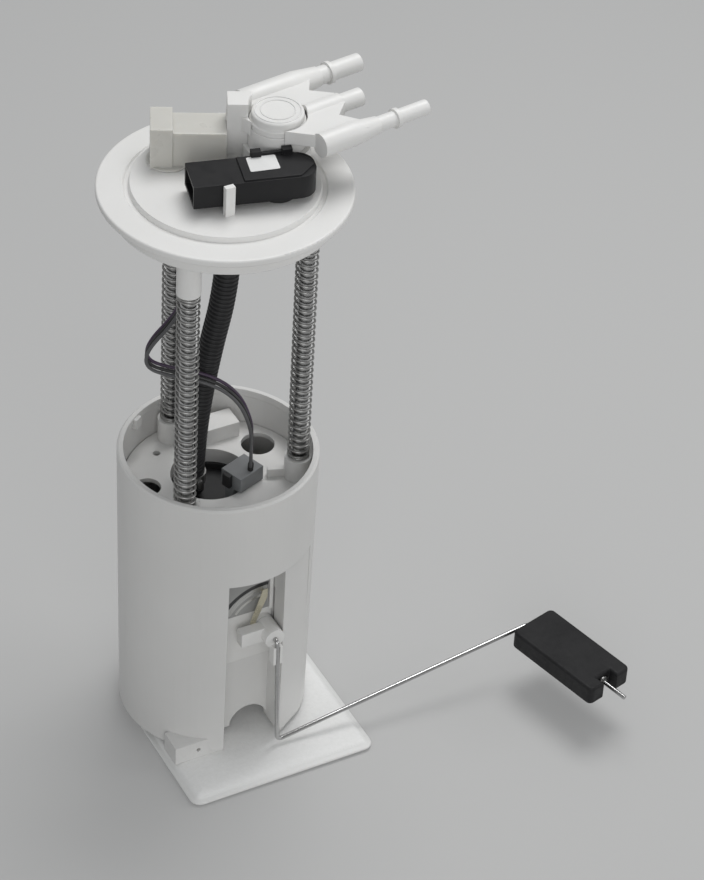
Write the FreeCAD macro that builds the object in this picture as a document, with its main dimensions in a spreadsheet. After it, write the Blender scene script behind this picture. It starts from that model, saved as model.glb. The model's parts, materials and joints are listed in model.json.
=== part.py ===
import FreeCAD, Part
import Sketcher
import math
import os
import re
from FreeCAD import Placement, Rotation, Vector

# Fuel pump module. Millimetres, +Z up, origin on the reservoir's axis where the strainer stands.
# The level sender faces -Y and its float hangs out towards +X.

os.makedirs("parts", exist_ok=True)
doc = FreeCAD.newDocument("fuel_pump_module")
sheet = doc.addObject("Spreadsheet::Sheet", "sizes")

# Driving dimensions
SIZES = {
    # strainer
    "pad_left": 46.5, "pad_right": 62.5, "pad_front": 75, "pad_back": 22, "pad_thick": 4.8,
    "pad_corner": 6, "pad_round": 1.2, "neck_rad": 7.5, "neck_bore": 5.6, "neck_flange": 12,
    "neck_flange_thick": 2.2,
    # reservoir
    "tub_rad_top": 52.7, "tub_taper": 1.7, "tub_lift": 3.2, "tub_high": 170.5, "tub_wall": 2.6,
    "floor_lift": 11, "lip_thick": 3.4, "lip_deep": 4, "lip_round": 1,
    "recess_half": 16.5, "recess_deep": 18, "recess_high": 118, "recess_wall": 2.4,
    "facet_angle": 31.5, "facet_deep": 0.8, "facet_half": 12.5,
    "arch_rad": 11, "foot_long": 27.5, "foot_side": 7.5, "foot_face": 6, "foot_deep": 14,
    "foot_high": 11.7, "foot_hole": 1.2, "heel_wide": 32, "heel_deep": 6,
    "slot_wide": 3, "slot_back": 2, "slot_low": 2.5, "slot_high": 26,
    "snap_wide": 5, "snap_deep": 2, "snap_high": 6, "snap_turn": 25,
    "floor_gap": 0.3, "valve_side": 25, "valve_back": 27, "valve_stem": 1.5, "valve_rad": 9,
    "valve_lip": 0.5, "valve_crown": 2.4, "valve_bulb": 0.8, "valve_tail": 3, "valve_seat": 0.2,
    # guide rods, springs and their retainer
    "rod_inset": 10.7, "rod_rad": 4, "rod_bore": 3.1, "rod_below": 4, "rod_angle": -20,
    "rod_press": 0.02, "rod_run": 0.06, "rod_end": 0.1, "boss_rad": 6.2, "boss_drop": 33.6, "boss_cap": 3.5,
    "spring_out": 6, "spring_wire": 1.2, "guide_rad": 7.2, "guide_high": 16, "ledge_drop": 24.5,
    "ledge_thick": 2.6, "ledge_gap": 0.6, "guide_rib": 3, "guide_rib_high": 8, "guide_rib_long": 16,
    "window_rad": 7, "window_wide": 9, "window_small": 2,
    "hump_x": 2, "hump_inset": 15, "hump_long": 24, "hump_deep": 13, "hump_high": 12,
    "clip_rad": 6, "clip_thick": 1.2, "clip_gap": 0.3,
    # pump
    "pump_x": -2, "pump_y": 5, "case_rad": 19, "case_wall": 1.2, "case_long": 105,
    "inlet_lift": 8, "inlet_high": 6, "inlet_sink": 4, "inlet_spout": 8, "inlet_bore": 3.2, "spout_gap": 0.3,
    "slip": 0.05, "bearing_rad": 5, "bearing_long": 5, "armature_slot": 2, "magnet_half": 13, "magnet_thick": 5.2,
    "magnet_more": 2, "impeller_pocket": 1.3, "brush_long": 5, "brush_wide": 5, "brush_gap": 0.3,
    "brush_spring_rad": 1.9, "poppet_run": 0.06, "poppet_lift": 2, "poppet_taper": 0.8,
    "poppet_long": 5, "poppet_spring": 8, "impeller_thick": 4, "impeller_gap": 2.3, "pump_gap": 0.4,
    "shaft_rad": 2.5, "shaft_run": 0.03, "air_gap": 0.8, "armature_long": 60,
    "armature_lift": 21, "commutator_rad": 6.5, "commutator_long": 9, "cap_wall": 3.3, "cap_sink": 16,
    "isolator_thick": 1.6, "isolator_short": 4, "sleeve_wall": 1.8, "sleeve_drop": 56, "cap_high": 6,
    "nipple_x": -9, "nipple_y": 3, "nipple_rad": 4.2, "nipple_wall": 1.6, "nipple_high": 22, "stub_wall": 1.3,
    "barb_long": 3, "barb_deep": 0.6,
    "plug_x": 5.3, "plug_y": -16.4, "plug_angle": 20, "plug_long": 17, "plug_deep": 14, "plug_high": 9,
    "plug_gap": 0.4, "plug_wall": 1, "plug_hollow": 8, "neck_x": 0.5, "neck_y": 5.6, "neck_wide": 8,
    "neck_deep": 6, "latch_thick": 2.5, "latch_wide": 5, "latch_back": 3,
    "blade_thick": 0.8, "blade_wide": 1.6, "blade_long": 7, "pump_blade": 2.8,
    # hose, clamps and harness
    "hose_wall": 2.25, "hose_gap": 4, "hose_stop": 17.6, "stub_x": 3, "stub_y": -0.5,
    "stub_drop": 37.6, "clamp_wide": 6, "clamp_thick": 0.9, "clamp_gap": 0.05, "clamp_ear": 2.4, "clamp_ear_out": 2.9,
    "lead_rad": 0.9, "harness_x": -19.5, "harness_y": -8, "harness_long": 12, "harness_wide": 10,
    # tank cover
    "cover_rad": 63.5, "cover_low": 339.6, "cover_thick": 4, "web_lift": 1.6,
    "rim_wide": 7, "skirt_wall": 3, "skirt_deep": 8.8, "step_in": 13.3, "groove_deep": 0.9, "groove_wide": 3.4,
    "groove_slope": 0.7, "plateau_high": 2, "rim_round": 1.2, "post_along": 13.3, "post_out": 8,
    "post_wide": 5, "post_thick": 3, "post_high": 16.4, "vent_way_rad": 9,
    # ports
    "port_angle": 8, "port_lift": 23.4, "supply_rad": 4.75, "return_rad": 3.97, "vapour_rad": 4.75,
    "port_wall": 1.2, "supply_off": 23.4, "vapour_off": -2.4, "return_off": -27,
    "supply_tip": 95.2, "vapour_tip": 77.6, "return_tip": 99.9, "supply_root": 24, "vapour_free": 12.6,
    "vapour_step": 1, "port_start": 26, "trunk_more": 2.2, "trunk_end": 0.5,
    "port_bead": 1.1, "bead_long": 2.2, "bead_back": 19.6, "web_reach": 62, "web_thick": 8, "web_notch": 6,
    "web_nose": 3, "web_back": 18, "web_side": 12,
    "tower_wide": 12, "tower_deep": 12, "tower_side": 4.6, "tower_high": 34.4, "root_long": 14, "rib_thick": 3,
    "ring_wall": 2.4, "ring_high": 12,
    # vent valve
    "vent_x": 30, "vent_y": 5, "vent_rad": 14.5, "vent_high": 22.9, "vent_wall": 2,
    "vent_cap_step": 0.5, "vent_cap_high": 7.5, "vent_cap_rim": 3, "vent_cap_in": 1, "vent_cap_round": 0.8,
    "vent_float_gap": 0.9, "vent_nose": 4.3, "vent_nose_rad": 3, "vent_pin_rad": 0.6,
    "vent_travel": 4, "vent_rest": 0.3, "vent_seat": 1.6,
    # electrical receptacle
    "socket_angle": -25, "socket_x": -29, "socket_y": 25.1, "socket_long": 37.3, "socket_wide": 18.4,
    "socket_high": 20.4, "socket_wall": 1.8, "socket_mouth": 17, "collar_long": 11, "collar_up": 2.6, "collar_out": 1,
    "socket_blade": 8, "socket_blade_gap": 3.2, "socket_foot_rad": 11, "socket_foot_x": 9, "socket_foot_y": 7,
    "socket_foot_thick": 1,
    # pressure sensor
    "sensor_angle": -14, "sensor_x": -26.7, "sensor_y": -19.4, "sensor_long": 62, "sensor_wide": 21.5,
    "sensor_lift": 3.4, "sensor_high": 12.5, "shroud_long": 25, "shroud_wall": 1.6,
    "shroud_deep": 15, "sensor_round": 9, "ear_one": 32, "ear_two": 47.5, "ear_wide": 5, "ear_high": 13.5,
    "ear_lift": 3, "ear_deep": 3, "ear_out": 0.6, "bar_high": 2, "crown_high": 0.9, "crown_in": 0.8,
    "port_in": 44, "sensor_port_rad": 5, "port_gap": 0.5, "grommet_wall": 3.5, "sensor_blade_gap": 4,
    # level sender and float
    "pivot_x": 10.5, "pivot_z": 81.5, "sender_drop": 23.5, "sender_gap": 2, "sender_thick": 2.5,
    "sender_side": 1.5, "sender_right": 0.5, "rail_wide": 2, "rail_high": 0.8,
    "card_lift": 9.5, "card_thick": 0.8, "card_gap": 0.25, "rivet_rad": 1.5, "rivet_x": 9, "rivet_down": 4,
    "hub_rad": 5.6, "hub_gap": 0.3,
    "bearing_high": 3, "bearing_wall": 1.6, "lever_long": 17, "lever_deep": 6, "lever_high": 9, "lever_in": 1.4,
    "wiper_reach": 23, "wiper_top": 26.5, "wiper_thick": 0.5, "wiper_in": 0.9, "wiper_left": 9, "wiper_foot": 3,
    "wiper_tip_rad": 0.9, "wiper_tip_x": 0.8, "jaw_wide": 5.4, "jaw_side": 0.4, "jaw_low": 15.5,
    "jaw_high": 3.5, "jaw_front_wall": 1, "jaw_back_wall": 4.2, "jaw_nip": 0.15, "hub_short": 2.5,
    "spigot_rad": 4, "spigot_run": 0.05, "wire_rad": 1.25, "wire_out": 21, "wire_fit": 0.03, "wire_sunk": 8.6,
    "elbow_side": 2.5, "elbow_lift": 3.6, "arm_x": 168.2, "arm_z": 33.3, "arm_turn": -76, "arm_tail": 75.5,
    "arm_bend": 3, "hub_bend": 1.9, "stop_rad": 3.2, "stop_thick": 0.9, "stop_gap": 0.3,
    "float_long": 61.7, "float_wide": 30, "float_thick": 11.5, "float_gap": 2.6, "float_bore": 1.31,
    "notch_wide": 10, "notch_deep": 6, "float_round": 3.2,
}

# Heights, radii and places that follow from the sizes above: each is a sum of them
PLACES = {
    "tub_low": "pad_thick + tub_lift", "tub_top": "tub_low + tub_high", "tub_rad_low": "tub_rad_top - tub_taper",
    "tub_floor": "tub_low + floor_lift", "recess_back": "tub_rad_low - recess_deep",
    "recess_top": "tub_low + recess_high", "facet_dist": "tub_rad_low - facet_deep",
    "foot_left": "tub_rad_low - foot_side", "foot_front": "tub_rad_low - foot_face",
    "foot_top": "pad_thick + foot_high",
    "valve_x": "tub_rad_low - valve_side", "valve_y": "tub_rad_low - valve_back", "valve_low": "tub_floor + tub_wall",
    "guide_low": "tub_top - ledge_drop", "guide_top": "guide_low + guide_high",
    "ledge_top": "guide_low + ledge_thick",
    "rod_ring": "tub_rad_top - rod_inset", "rod_low": "guide_low - rod_below", "boss_low": "cover_low - boss_drop",
    "hump_y": "rod_ring - hump_inset", "sleeve_low": "guide_low - sleeve_drop",
    "inlet_low": "tub_floor + inlet_lift", "case_low": "inlet_low + inlet_high", "case_top": "case_low + case_long",
    "inlet_top": "case_low + inlet_sink", "cap_top": "case_top + cap_high", "nipple_top": "cap_top + nipple_high",
    "armature_low": "case_low + armature_lift", "magnet_in": "case_rad - case_wall - magnet_thick",
    "armature_rad": "magnet_in - air_gap", "impeller_rad": "case_rad - case_wall - impeller_gap",
    "impeller_low": "inlet_top + pump_gap", "plate_low": "inlet_top + impeller_thick + pump_gap + pump_gap",
    "bush_low": "case_top - inlet_sink", "commutator_low": "bush_low - plug_wall - commutator_long",
    "case_in": "case_rad - case_wall - slip", "cap_in": "case_rad - case_wall - cap_wall",
    "poppet_rad": "nipple_rad - nipple_wall", "seat_low": "cap_top + poppet_lift",
    "nipple_bore": "nipple_rad - stub_wall", "plug_low": "ledge_top + plug_gap",
    "hose_bore": "nipple_rad + slip", "hose_rad": "hose_bore + hose_wall", "hose_low": "cap_top + hose_gap",
    "hose_top": "cover_low - hose_stop", "stub_low": "cover_low - stub_drop",
    "cover_top": "cover_low + cover_thick", "cover_web": "cover_low + web_lift", "skirt_rad": "cover_rad - rim_wide",
    "skirt_low": "cover_low - skirt_deep", "step_rad": "cover_rad - step_in", "plateau_rad": "step_rad - groove_wide",
    "plateau_top": "cover_top + plateau_high", "post_x": "sensor_x + post_along", "post_y": "sensor_y - post_out",
    "post_top": "plateau_top + post_high", "port_z": "plateau_top + port_lift",
    "tower_top": "plateau_top + tower_high",
    "pipe_start": "web_reach - port_start", "vent_top": "plateau_top + vent_high",
    "vent_cap_rad": "vent_rad - vent_cap_step", "vent_cap_top": "vent_top + vent_cap_high",
    "vent_float_rad": "vent_rad - vent_wall - vent_float_gap", "vent_float_low": "plateau_top + vent_rest",
    "vent_float_top": "vent_top - vent_wall - vent_travel - vent_rest", "socket_top": "plateau_top + socket_high",
    "sensor_low": "plateau_top + sensor_lift", "sensor_top": "sensor_low + sensor_high",
    "sender_low": "pivot_z - sender_drop", "sender_high": "recess_top - sender_gap",
    "card_low": "pivot_z + card_lift", "card_front": "recess_back + sender_thick + card_thick",
    "hub_back": "recess_back + sender_thick + bearing_high + hub_gap", "wire_plane": "recess_back + wire_out",
    "hub_front": "wire_plane - hub_short", "jaw_back": "wire_plane - jaw_back_wall",
    "jaw_front": "wire_plane + jaw_front_wall", "elbow_x": "pivot_x + elbow_side",
    "elbow_z": "pad_thick + elbow_lift",
}
for row, (name, value) in enumerate(SIZES.items(), start=1):
    sheet.set("A%d" % row, name)
    sheet.set("B%d" % row, str(value))
    sheet.setAlias("B%d" % row, name)
doc.recompute()


def size(name):
    """A size from the sheet, or the sum that a place stands for."""
    if name in SIZES:
        return float(sheet.get(name))
    total = 0
    sign = 1
    for word in PLACES[name].split():
        if word in "+-":
            sign = 1 if word == "+" else -1
        else:
            total += sign * size(word)
    return total


def spell(text):
    """A formula of sheet names: places are written out as their sums, and each name gets the sheet's prefix."""
    def written(found):
        word = found[0]
        if word in PLACES:
            return "(" + spell(PLACES[word]) + ")"
        return "sizes." + word if word in SIZES else word
    return re.sub(r"[a-z]+(?:_[a-z]+)*", written, str(text))


def bind(thing, **formulas):
    for prop, text in formulas.items():
        thing.setExpression(prop, spell(text))


def move(thing, x=0, y=0, z=0):
    """Ties a thing's place to formulas."""
    for axis, text in (("x", x), ("y", y), ("z", z)):
        thing.setExpression("Placement.Base." + axis, spell(text))
    return thing


def spin(thing, angle):
    """Turns a thing about its own Z axis by a formula in degrees."""
    thing.Placement = Placement(thing.Placement.Base, Rotation(Vector(0, 0, 1), 30))
    thing.setExpression("Placement.Rotation.Angle", spell(angle))
    return thing


def lying(thing, axis, angle):
    """Lays an upright primitive down: turned about X or Y, its place kept."""
    thing.Placement = Placement(thing.Placement.Base, Rotation(axis, angle))
    return thing


ALONG_X = (Vector(0, 1, 0), 90)
TO_FRONT = (Vector(1, 0, 0), 90)
ROD_TURNS = (0, 120, 240)


def rod_place(turn_angle):
    return ("(rod_ring) * cos(rod_angle + %d)" % turn_angle, "(rod_ring) * sin(rod_angle + %d)" % turn_angle)


def tube_of(name, rad, long, x=0, y=0, z=0):
    thing = doc.addObject("Part::Cylinder", name)
    bind(thing, Radius=rad, Height=long)
    return move(thing, x, y, z)


def block(name, long, wide, high, x=0, y=0, z=0):
    thing = doc.addObject("Part::Box", name)
    bind(thing, Length=long, Width=wide, Height=high)
    return move(thing, x, y, z)


def cut(name, base, *tools):
    tool = tools[0] if len(tools) == 1 else join(name + "_tools", *tools)
    thing = doc.addObject("Part::Cut", name)
    thing.Base = base
    thing.Tool = tool
    return thing


def join(name, *shapes):
    thing = doc.addObject("Part::MultiFuse", name)
    thing.Shapes = list(shapes)
    return thing


def ring(name, outer, inner, long, x=0, y=0, z=0):
    outside = tube_of(name + "_outside", outer, long, x, y, z)
    inside = tube_of(name + "_inside", inner, long, x, y, z)
    return cut(name, outside, inside)


def plane(body, role):
    return [f for f in body.Origin.OriginFeatures if f.Role == role][0]


def sketch(body, name, role, lift=0):
    drawing = body.newObject("Sketcher::SketchObject", name)
    drawing.AttachmentSupport = [(plane(body, role), "")]
    drawing.MapMode = "FlatFace"
    drawing.setExpression("AttachmentOffset.Base.z", spell(lift))
    return drawing


def outline(drawing, points):
    """A closed outline of straight edges. Each corner's two distances from the origin are formulas."""
    count = len(points)
    start = [Vector(9 * math.cos(6.28 * i / count), 9 * math.sin(6.28 * i / count), 0) for i in range(count)]
    first = drawing.GeometryCount
    drawing.addGeometry([Part.LineSegment(start[i], start[(i + 1) % count]) for i in range(count)], False)
    for i in range(count):
        drawing.addConstraint(Sketcher.Constraint("Coincident", first + i, 2, first + (i + 1) % count, 1))
    for i, (across, up) in enumerate(points):
        for kind, text, now in (("DistanceX", across, start[i].x), ("DistanceY", up, start[i].y)):
            mark = drawing.addConstraint(Sketcher.Constraint(kind, first + i, 1, now))
            drawing.setExpression("Constraints[%d]" % mark, spell(text))


def circle(drawing, rad, x=0, y=0):
    first = drawing.addGeometry(Part.Circle(Vector(3, 2, 0), Vector(0, 0, 1), 1.5), False)
    for kind, text, now in (("DistanceX", x, 3), ("DistanceY", y, 2)):
        mark = drawing.addConstraint(Sketcher.Constraint(kind, first, 3, now))
        drawing.setExpression("Constraints[%d]" % mark, spell(text))
    mark = drawing.addConstraint(Sketcher.Constraint("Radius", first, 1.5))
    drawing.setExpression("Constraints[%d]" % mark, spell(rad))


def body_of(name):
    return doc.addObject("PartDesign::Body", name)


def pad(body, name, drawing, long, reverse=False, both=False):
    feature = body.newObject("PartDesign::Pad", name)
    feature.Profile = drawing
    feature.Reversed = reverse
    feature.Midplane = both
    bind(feature, Length=long)
    return feature


def pocket(body, name, drawing, deep, reverse=False):
    feature = body.newObject("PartDesign::Pocket", name)
    feature.Profile = drawing
    feature.Reversed = reverse
    bind(feature, Length=deep)
    return feature


def revolve(body, name, drawing):
    feature = body.newObject("PartDesign::Revolution", name)
    feature.Profile = drawing
    feature.ReferenceAxis = (drawing, ["V_Axis"])
    feature.Angle = 360
    return feature


def turned(name, points, x=0, y=0, z=0):
    """A turned piece: radius and height of each corner of its section, round its own Z axis."""
    body = body_of(name)
    drawing = sketch(body, name + "_section", "XZ_Plane")
    outline(drawing, points)
    revolve(body, name + "_turning", drawing)
    return move(body, x, y, z)


def rounded(body, name, radius, chosen):
    """Rounds those edges of a body's last feature that chosen(edge) picks."""
    doc.recompute()
    base = body.Tip
    names = ["Edge%d" % (i + 1) for i, edge in enumerate(base.Shape.Edges) if chosen(edge)]
    feature = body.newObject("PartDesign::Fillet", name)
    feature.Base = (base, names)
    bind(feature, Radius=radius)
    return feature


def upright(edge):
    box = edge.BoundBox
    return box.XLength < 0.01 and box.YLength < 0.01 and box.ZLength > 0.5


def at_height(edge, z):
    box = edge.BoundBox
    return abs(box.ZMin - z) < 0.01 and abs(box.ZMax - z) < 0.01


def path_wire(points, radii=None):
    """Straight runs joined by tangent arcs. Without radii each arc is as large as its runs allow."""
    edges = []
    here = points[0]
    used = []
    for i in range(1, len(points) - 1):
        back = points[i - 1] - points[i]
        ahead = points[i + 1] - points[i]
        half = (math.pi - back.getAngle(ahead)) / 2
        if radii is None:
            reach = 0.45 * min(back.Length, ahead.Length)
            radius = reach / math.tan(half)
        else:
            radius = radii[i - 1]
            reach = radius * math.tan(half)
        used.append(radius)
        one = points[i] + back.normalize() * reach
        two = points[i] + ahead.normalize() * reach
        middle = ((one - points[i]) + (two - points[i])).normalize()
        middle = points[i] + middle * (radius / math.cos(half) - radius)
        edges.append(Part.LineSegment(here, one).toShape())
        edges.append(Part.Arc(one, middle, two).toShape())
        here = two
    edges.append(Part.LineSegment(here, points[-1]).toShape())
    return Part.Wire(edges), used


def swept(wire, radius):
    start = wire.Edges[0]
    direction = start.tangentAt(start.FirstParameter)
    section = Part.Wire(Part.makeCircle(radius, start.valueAt(start.FirstParameter), direction))
    return wire.makePipeShell([section], True, True)


def free_shape(name, shape):
    thing = doc.addObject("Part::Feature", name)
    thing.Shape = shape
    return thing


def blades_in(name, count, start, long, first, step, wide, low, high, base):
    """A row of flat blades along a connector's depth, in that connector's frame."""
    made = []
    for number in range(count):
        blade = body_of("%s_%d" % (name, number))
        outline_plane = sketch(blade, "%s_outline_%d" % (name, number), "XY_Plane", low)
        side = "%s + %d * (%s)" % (first, number, step)
        end = start + " + " + long
        top = side + " + " + wide
        outline(outline_plane, [(start, side), (end, side), (end, top), (start, top)])
        pad(blade, "%s_pad_%d" % (name, number), outline_plane, high)
        spin(move(blade, base[0], base[1]), base[2])
        made.append(blade)
    return join(name + "_row", *made)


pieces = []


def keep(name, thing):
    thing.Label = name
    pieces.append((name, thing))
    return thing


# Strainer pad: two felt layers welded at the edge, a flat stiff bag that lies on the tank's floor
pad_body = body_of("strainer_pad_body")
drawing = sketch(pad_body, "pad_outline", "XY_Plane")
outline(drawing, [("-pad_left", "-pad_front + pad_corner"), ("-pad_left + pad_corner", "-pad_front"),
                  ("pad_right", "-pad_front"), ("pad_right", "pad_back"), ("-pad_left", "pad_back")])
pad(pad_body, "pad_thickness", drawing, "pad_thick")
rounded(pad_body, "pad_corners", "pad_round * 2", upright)
pad_top = size("pad_thick")
rounded(pad_body, "pad_edge", "pad_round", lambda edge: at_height(edge, pad_top))
keep("strainer_pad", pad_body)

# Strainer neck: flanged tube pushed over the pump's inlet, hands the strained fuel up
neck = turned("strainer_neck_body", [("neck_bore", "pad_thick"), ("neck_flange", "pad_thick"),
              ("neck_flange", "pad_thick + neck_flange_thick"), ("neck_rad", "pad_thick + neck_flange_thick"),
              ("neck_rad", "inlet_low - pump_gap"), ("neck_bore", "inlet_low - pump_gap")], "pump_x", "pump_y")
keep("strainer_neck", neck)

# Reservoir: tapered tub with a lip, a raised floor, and a sender recess open at the front and below
tub = turned("tub_solid", [("0", "tub_low"), ("tub_rad_low", "tub_low"), ("tub_rad_top", "tub_top - lip_round"),
             ("tub_rad_top - lip_round", "tub_top"), ("0", "tub_top")])
bowl = turned("tub_bowl", [("0", "tub_floor + tub_wall"), ("tub_rad_low - tub_wall", "tub_floor + tub_wall"),
              ("tub_rad_top - tub_wall", "tub_top - lip_deep - lip_round"),
              ("tub_rad_top - lip_thick", "tub_top - lip_deep"),
              ("tub_rad_top - lip_thick", "tub_top + 1"), ("0", "tub_top + 1")])
under = tube_of("tub_under", "tub_rad_low - tub_wall", "tub_floor - tub_low + 1", 0, 0, "tub_low - 1")
hood = block("recess_hood", "2 * (recess_half + recess_wall)", "tub_rad_top", "recess_top + recess_wall",
             "-recess_half - recess_wall", "-recess_back + recess_wall - tub_rad_top")
cavity = cut("tub_cavity", join("tub_hollows", bowl, under), hood)
recess = block("recess_space", "2 * recess_half", "tub_rad_top", "recess_top", "-recess_half",
               "-recess_back - tub_rad_top")
arch = tube_of("recess_arch", "arch_rad", "3 * recess_wall", "recess_half - arch_rad",
               "-recess_back + 2 * recess_wall", "tub_low")
lying(arch, *TO_FRONT)
facet = block("facet_block", "tub_rad_top", "2 * facet_half", "recess_top - tub_low + 1",
              "facet_dist * sin(facet_angle) - facet_half * cos(facet_angle)",
              "-facet_dist * cos(facet_angle) - facet_half * sin(facet_angle)", "tub_low - 1")
spin(facet, "facet_angle - 90")
wire_slot = block("recess_wire_slot", "2 * recess_wall", "slot_wide", "slot_high", "recess_half - recess_wall / 2",
                  "-(recess_back) - slot_back - slot_wide", "pivot_z - slot_low")
inlet_hole = tube_of("inlet_hole", "neck_rad + floor_gap", "tub_wall + 2", "pump_x", "pump_y", "tub_floor - 1")
valve_hole = tube_of("valve_hole", "valve_stem + floor_gap", "tub_wall + 2", "valve_x", "valve_y", "tub_floor - 1")
foot = block("tub_foot", "foot_long", "foot_deep", "foot_top - pad_thick", "-foot_left", "-foot_front", "pad_thick")
foot_hole = tube_of("foot_hole_tool", "foot_hole", "foot_deep", "-foot_left + foot_long / 2",
                    "-foot_front + foot_deep / 2", "(foot_top + pad_thick) / 2")
lying(foot_hole, *TO_FRONT)
heel = block("tub_heel", "heel_wide", "heel_deep", "tub_floor", "-heel_wide / 2",
             "tub_rad_low - tub_wall - heel_deep")
shell = cut("tub_walls", tub, cavity, recess, facet, inlet_hole, valve_hole, arch, wire_slot)
snaps = []
for angle in ROD_TURNS:
    here = "rod_angle + snap_turn + %d" % angle
    snap_in = "(tub_rad_top - lip_thick - snap_deep)"
    snap = block("rim_snap_%d" % angle, "snap_deep + lip_thick / 2", "snap_wide", "snap_high",
                 "%s * cos(%s) + snap_wide / 2 * sin(%s)" % (snap_in, here, here),
                 "%s * sin(%s) - snap_wide / 2 * cos(%s)" % (snap_in, here, here), "tub_top - lip_round - snap_high")
    snaps.append(spin(snap, here))
shell = cut("tub_whole", join("tub_with_feet", shell, foot, heel, *snaps), foot_hole)
keep("reservoir", shell)

# Floor valve: rubber umbrella over a hole in the reservoir's floor, lets fuel in and not out
umbrella = turned("floor_valve_body", [
    ("0", "tub_floor - valve_tail"), ("valve_stem", "tub_floor - valve_tail"),
    ("valve_stem + valve_bulb", "tub_floor - valve_seat"), ("valve_stem", "tub_floor - valve_seat"),
    ("valve_stem", "valve_low + valve_seat"), ("valve_rad", "valve_low + valve_seat"),
    ("valve_rad", "valve_low + valve_seat + valve_lip"), ("valve_stem", "valve_low + valve_seat + valve_crown"),
    ("0", "valve_low + valve_seat + valve_crown")], "valve_x", "valve_y")
keep("floor_valve", umbrella)

# Pump retainer: white moulding under the tub's mouth, with the pump's sleeve and three rod guides, each
# stiffened by a rib that runs in towards the pump
sleeve_rad = "case_rad + isolator_thick + sleeve_wall + 2 * slip"
disc_rad = "(tub_rad_top - tub_wall - ledge_gap)"
ledge = tube_of("ledge_disc", disc_rad, "ledge_thick", 0, 0, "guide_low")
sleeve = tube_of("pump_sleeve", sleeve_rad, "ledge_top - sleeve_low", "pump_x", "pump_y", "sleeve_low")
hump = block("ledge_hump", "hump_long", "hump_deep", "hump_high", "hump_x", "hump_y", "guide_low")
guides = [tube_of("guide_%d" % a, "guide_rad", "guide_top - guide_low", *rod_place(a), "guide_low")
          for a in ROD_TURNS]
ribs = []
for a in ROD_TURNS:
    here = "(rod_angle + %d)" % a
    rib = block("guide_rib_%d" % a, "guide_rib_long", "guide_rib", "guide_rib_high",
                "(rod_ring - guide_rib_long) * cos%s + guide_rib / 2 * sin%s" % (here, here),
                "(rod_ring - guide_rib_long) * sin%s - guide_rib / 2 * cos%s" % (here, here), "guide_low")
    ribs.append(spin(rib, here))
bores = [tube_of("guide_bore_%d" % a, "rod_rad + rod_run", "guide_top - guide_low + 2", *rod_place(a),
                 "guide_low - 1") for a in ROD_TURNS]
pump_way = tube_of("pump_way", "case_rad + isolator_thick + 2 * slip", "ledge_top - sleeve_low + 2", "pump_x",
                   "pump_y", "sleeve_low - 1")
openings = (("window_rad", "-(rod_ring) + 6", "9"), ("window_wide", "rod_ring - 10", "17"),
            ("window_rad", "-4", "-(rod_ring) + 8"), ("window_rad - 1", "16", "-(rod_ring) + 4"),
            ("window_small", "-20", "rod_ring - 10"))
windows = [tube_of("ledge_window_%d" % i, rad, "ledge_thick + 2", x, y, "guide_low - 1")
           for i, (rad, x, y) in enumerate(openings)]
retainer = cut("retainer_whole", join("retainer_solid", ledge, sleeve, hump, *guides, *ribs), pump_way, *windows,
               *bores)
keep("pump_retainer", retainer)

# Electric pump: crimped steel case with the turbine below and the brush end cap above
keep("pump_case", ring("pump_case_tube", "case_rad", "case_rad - case_wall", "case_top - case_low",
                       "pump_x", "pump_y", "case_low"))
inlet = turned("inlet_cover_body", [
    ("inlet_bore", "inlet_low - inlet_spout"), ("neck_bore - spout_gap", "inlet_low - inlet_spout"),
    ("neck_bore - spout_gap", "inlet_low"), ("case_rad", "inlet_low"), ("case_rad", "case_low"),
    ("case_in", "case_low"), ("case_in", "inlet_top"), ("inlet_bore", "inlet_top")], "pump_x", "pump_y")
keep("pump_inlet_cover", inlet)
plate = turned("bearing_plate_body", [
    ("bearing_rad", "plate_low"), ("case_in", "plate_low"), ("case_in", "plate_low + bearing_long"),
    ("bearing_rad", "plate_low + bearing_long")], "pump_x", "pump_y")
keep("pump_bearing_plate", plate)
cap = turned("end_cap_turned", [
    ("cap_in", "case_top - cap_sink"), ("case_in", "case_top - cap_sink"), ("case_in", "case_top"),
    ("case_rad", "case_top"), ("case_rad", "cap_top"), ("0", "cap_top"), ("0", "bush_low + bearing_long + plug_wall"),
    ("bearing_rad", "bush_low + bearing_long + plug_wall"), ("bearing_rad", "bush_low"),
    ("cap_in", "bush_low")], "pump_x", "pump_y")
nipple_at = ("pump_x + nipple_x", "pump_y + nipple_y")
nipple = tube_of("outlet_nipple", "nipple_rad", "nipple_top - cap_top + 1", *nipple_at, "cap_top - 1")
barbs = []
for i in range(3):
    barb = doc.addObject("Part::Cone", "nipple_barb_%d" % i)
    bind(barb, Radius1="nipple_rad", Radius2="nipple_rad - barb_deep", Height="barb_long")
    barbs.append(move(barb, *nipple_at, "nipple_top - %d * barb_long" % (i + 1)))
way = tube_of("outlet_way", "poppet_rad - 1", "nipple_top - bush_low + 2", *nipple_at, "bush_low - 1")
chamber = tube_of("poppet_chamber", "poppet_rad + poppet_run", "poppet_long + poppet_spring", *nipple_at,
                  "seat_low")
keep("pump_end_cap", cut("end_cap_whole", join("end_cap_solid", cap, nipple, *barbs), way, chamber))

# Bearings: two sintered bronze bushes that the shaft turns in
bush = "shaft_rad + shaft_run"
bushes = [ring("lower_bush", "bearing_rad - slip", bush, "bearing_long", "pump_x", "pump_y", "plate_low"),
          ring("upper_bush", "bearing_rad - slip", bush, "bearing_long", "pump_x", "pump_y", "bush_low")]
keep("pump_bearings", join("pump_bushes", *bushes))

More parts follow.
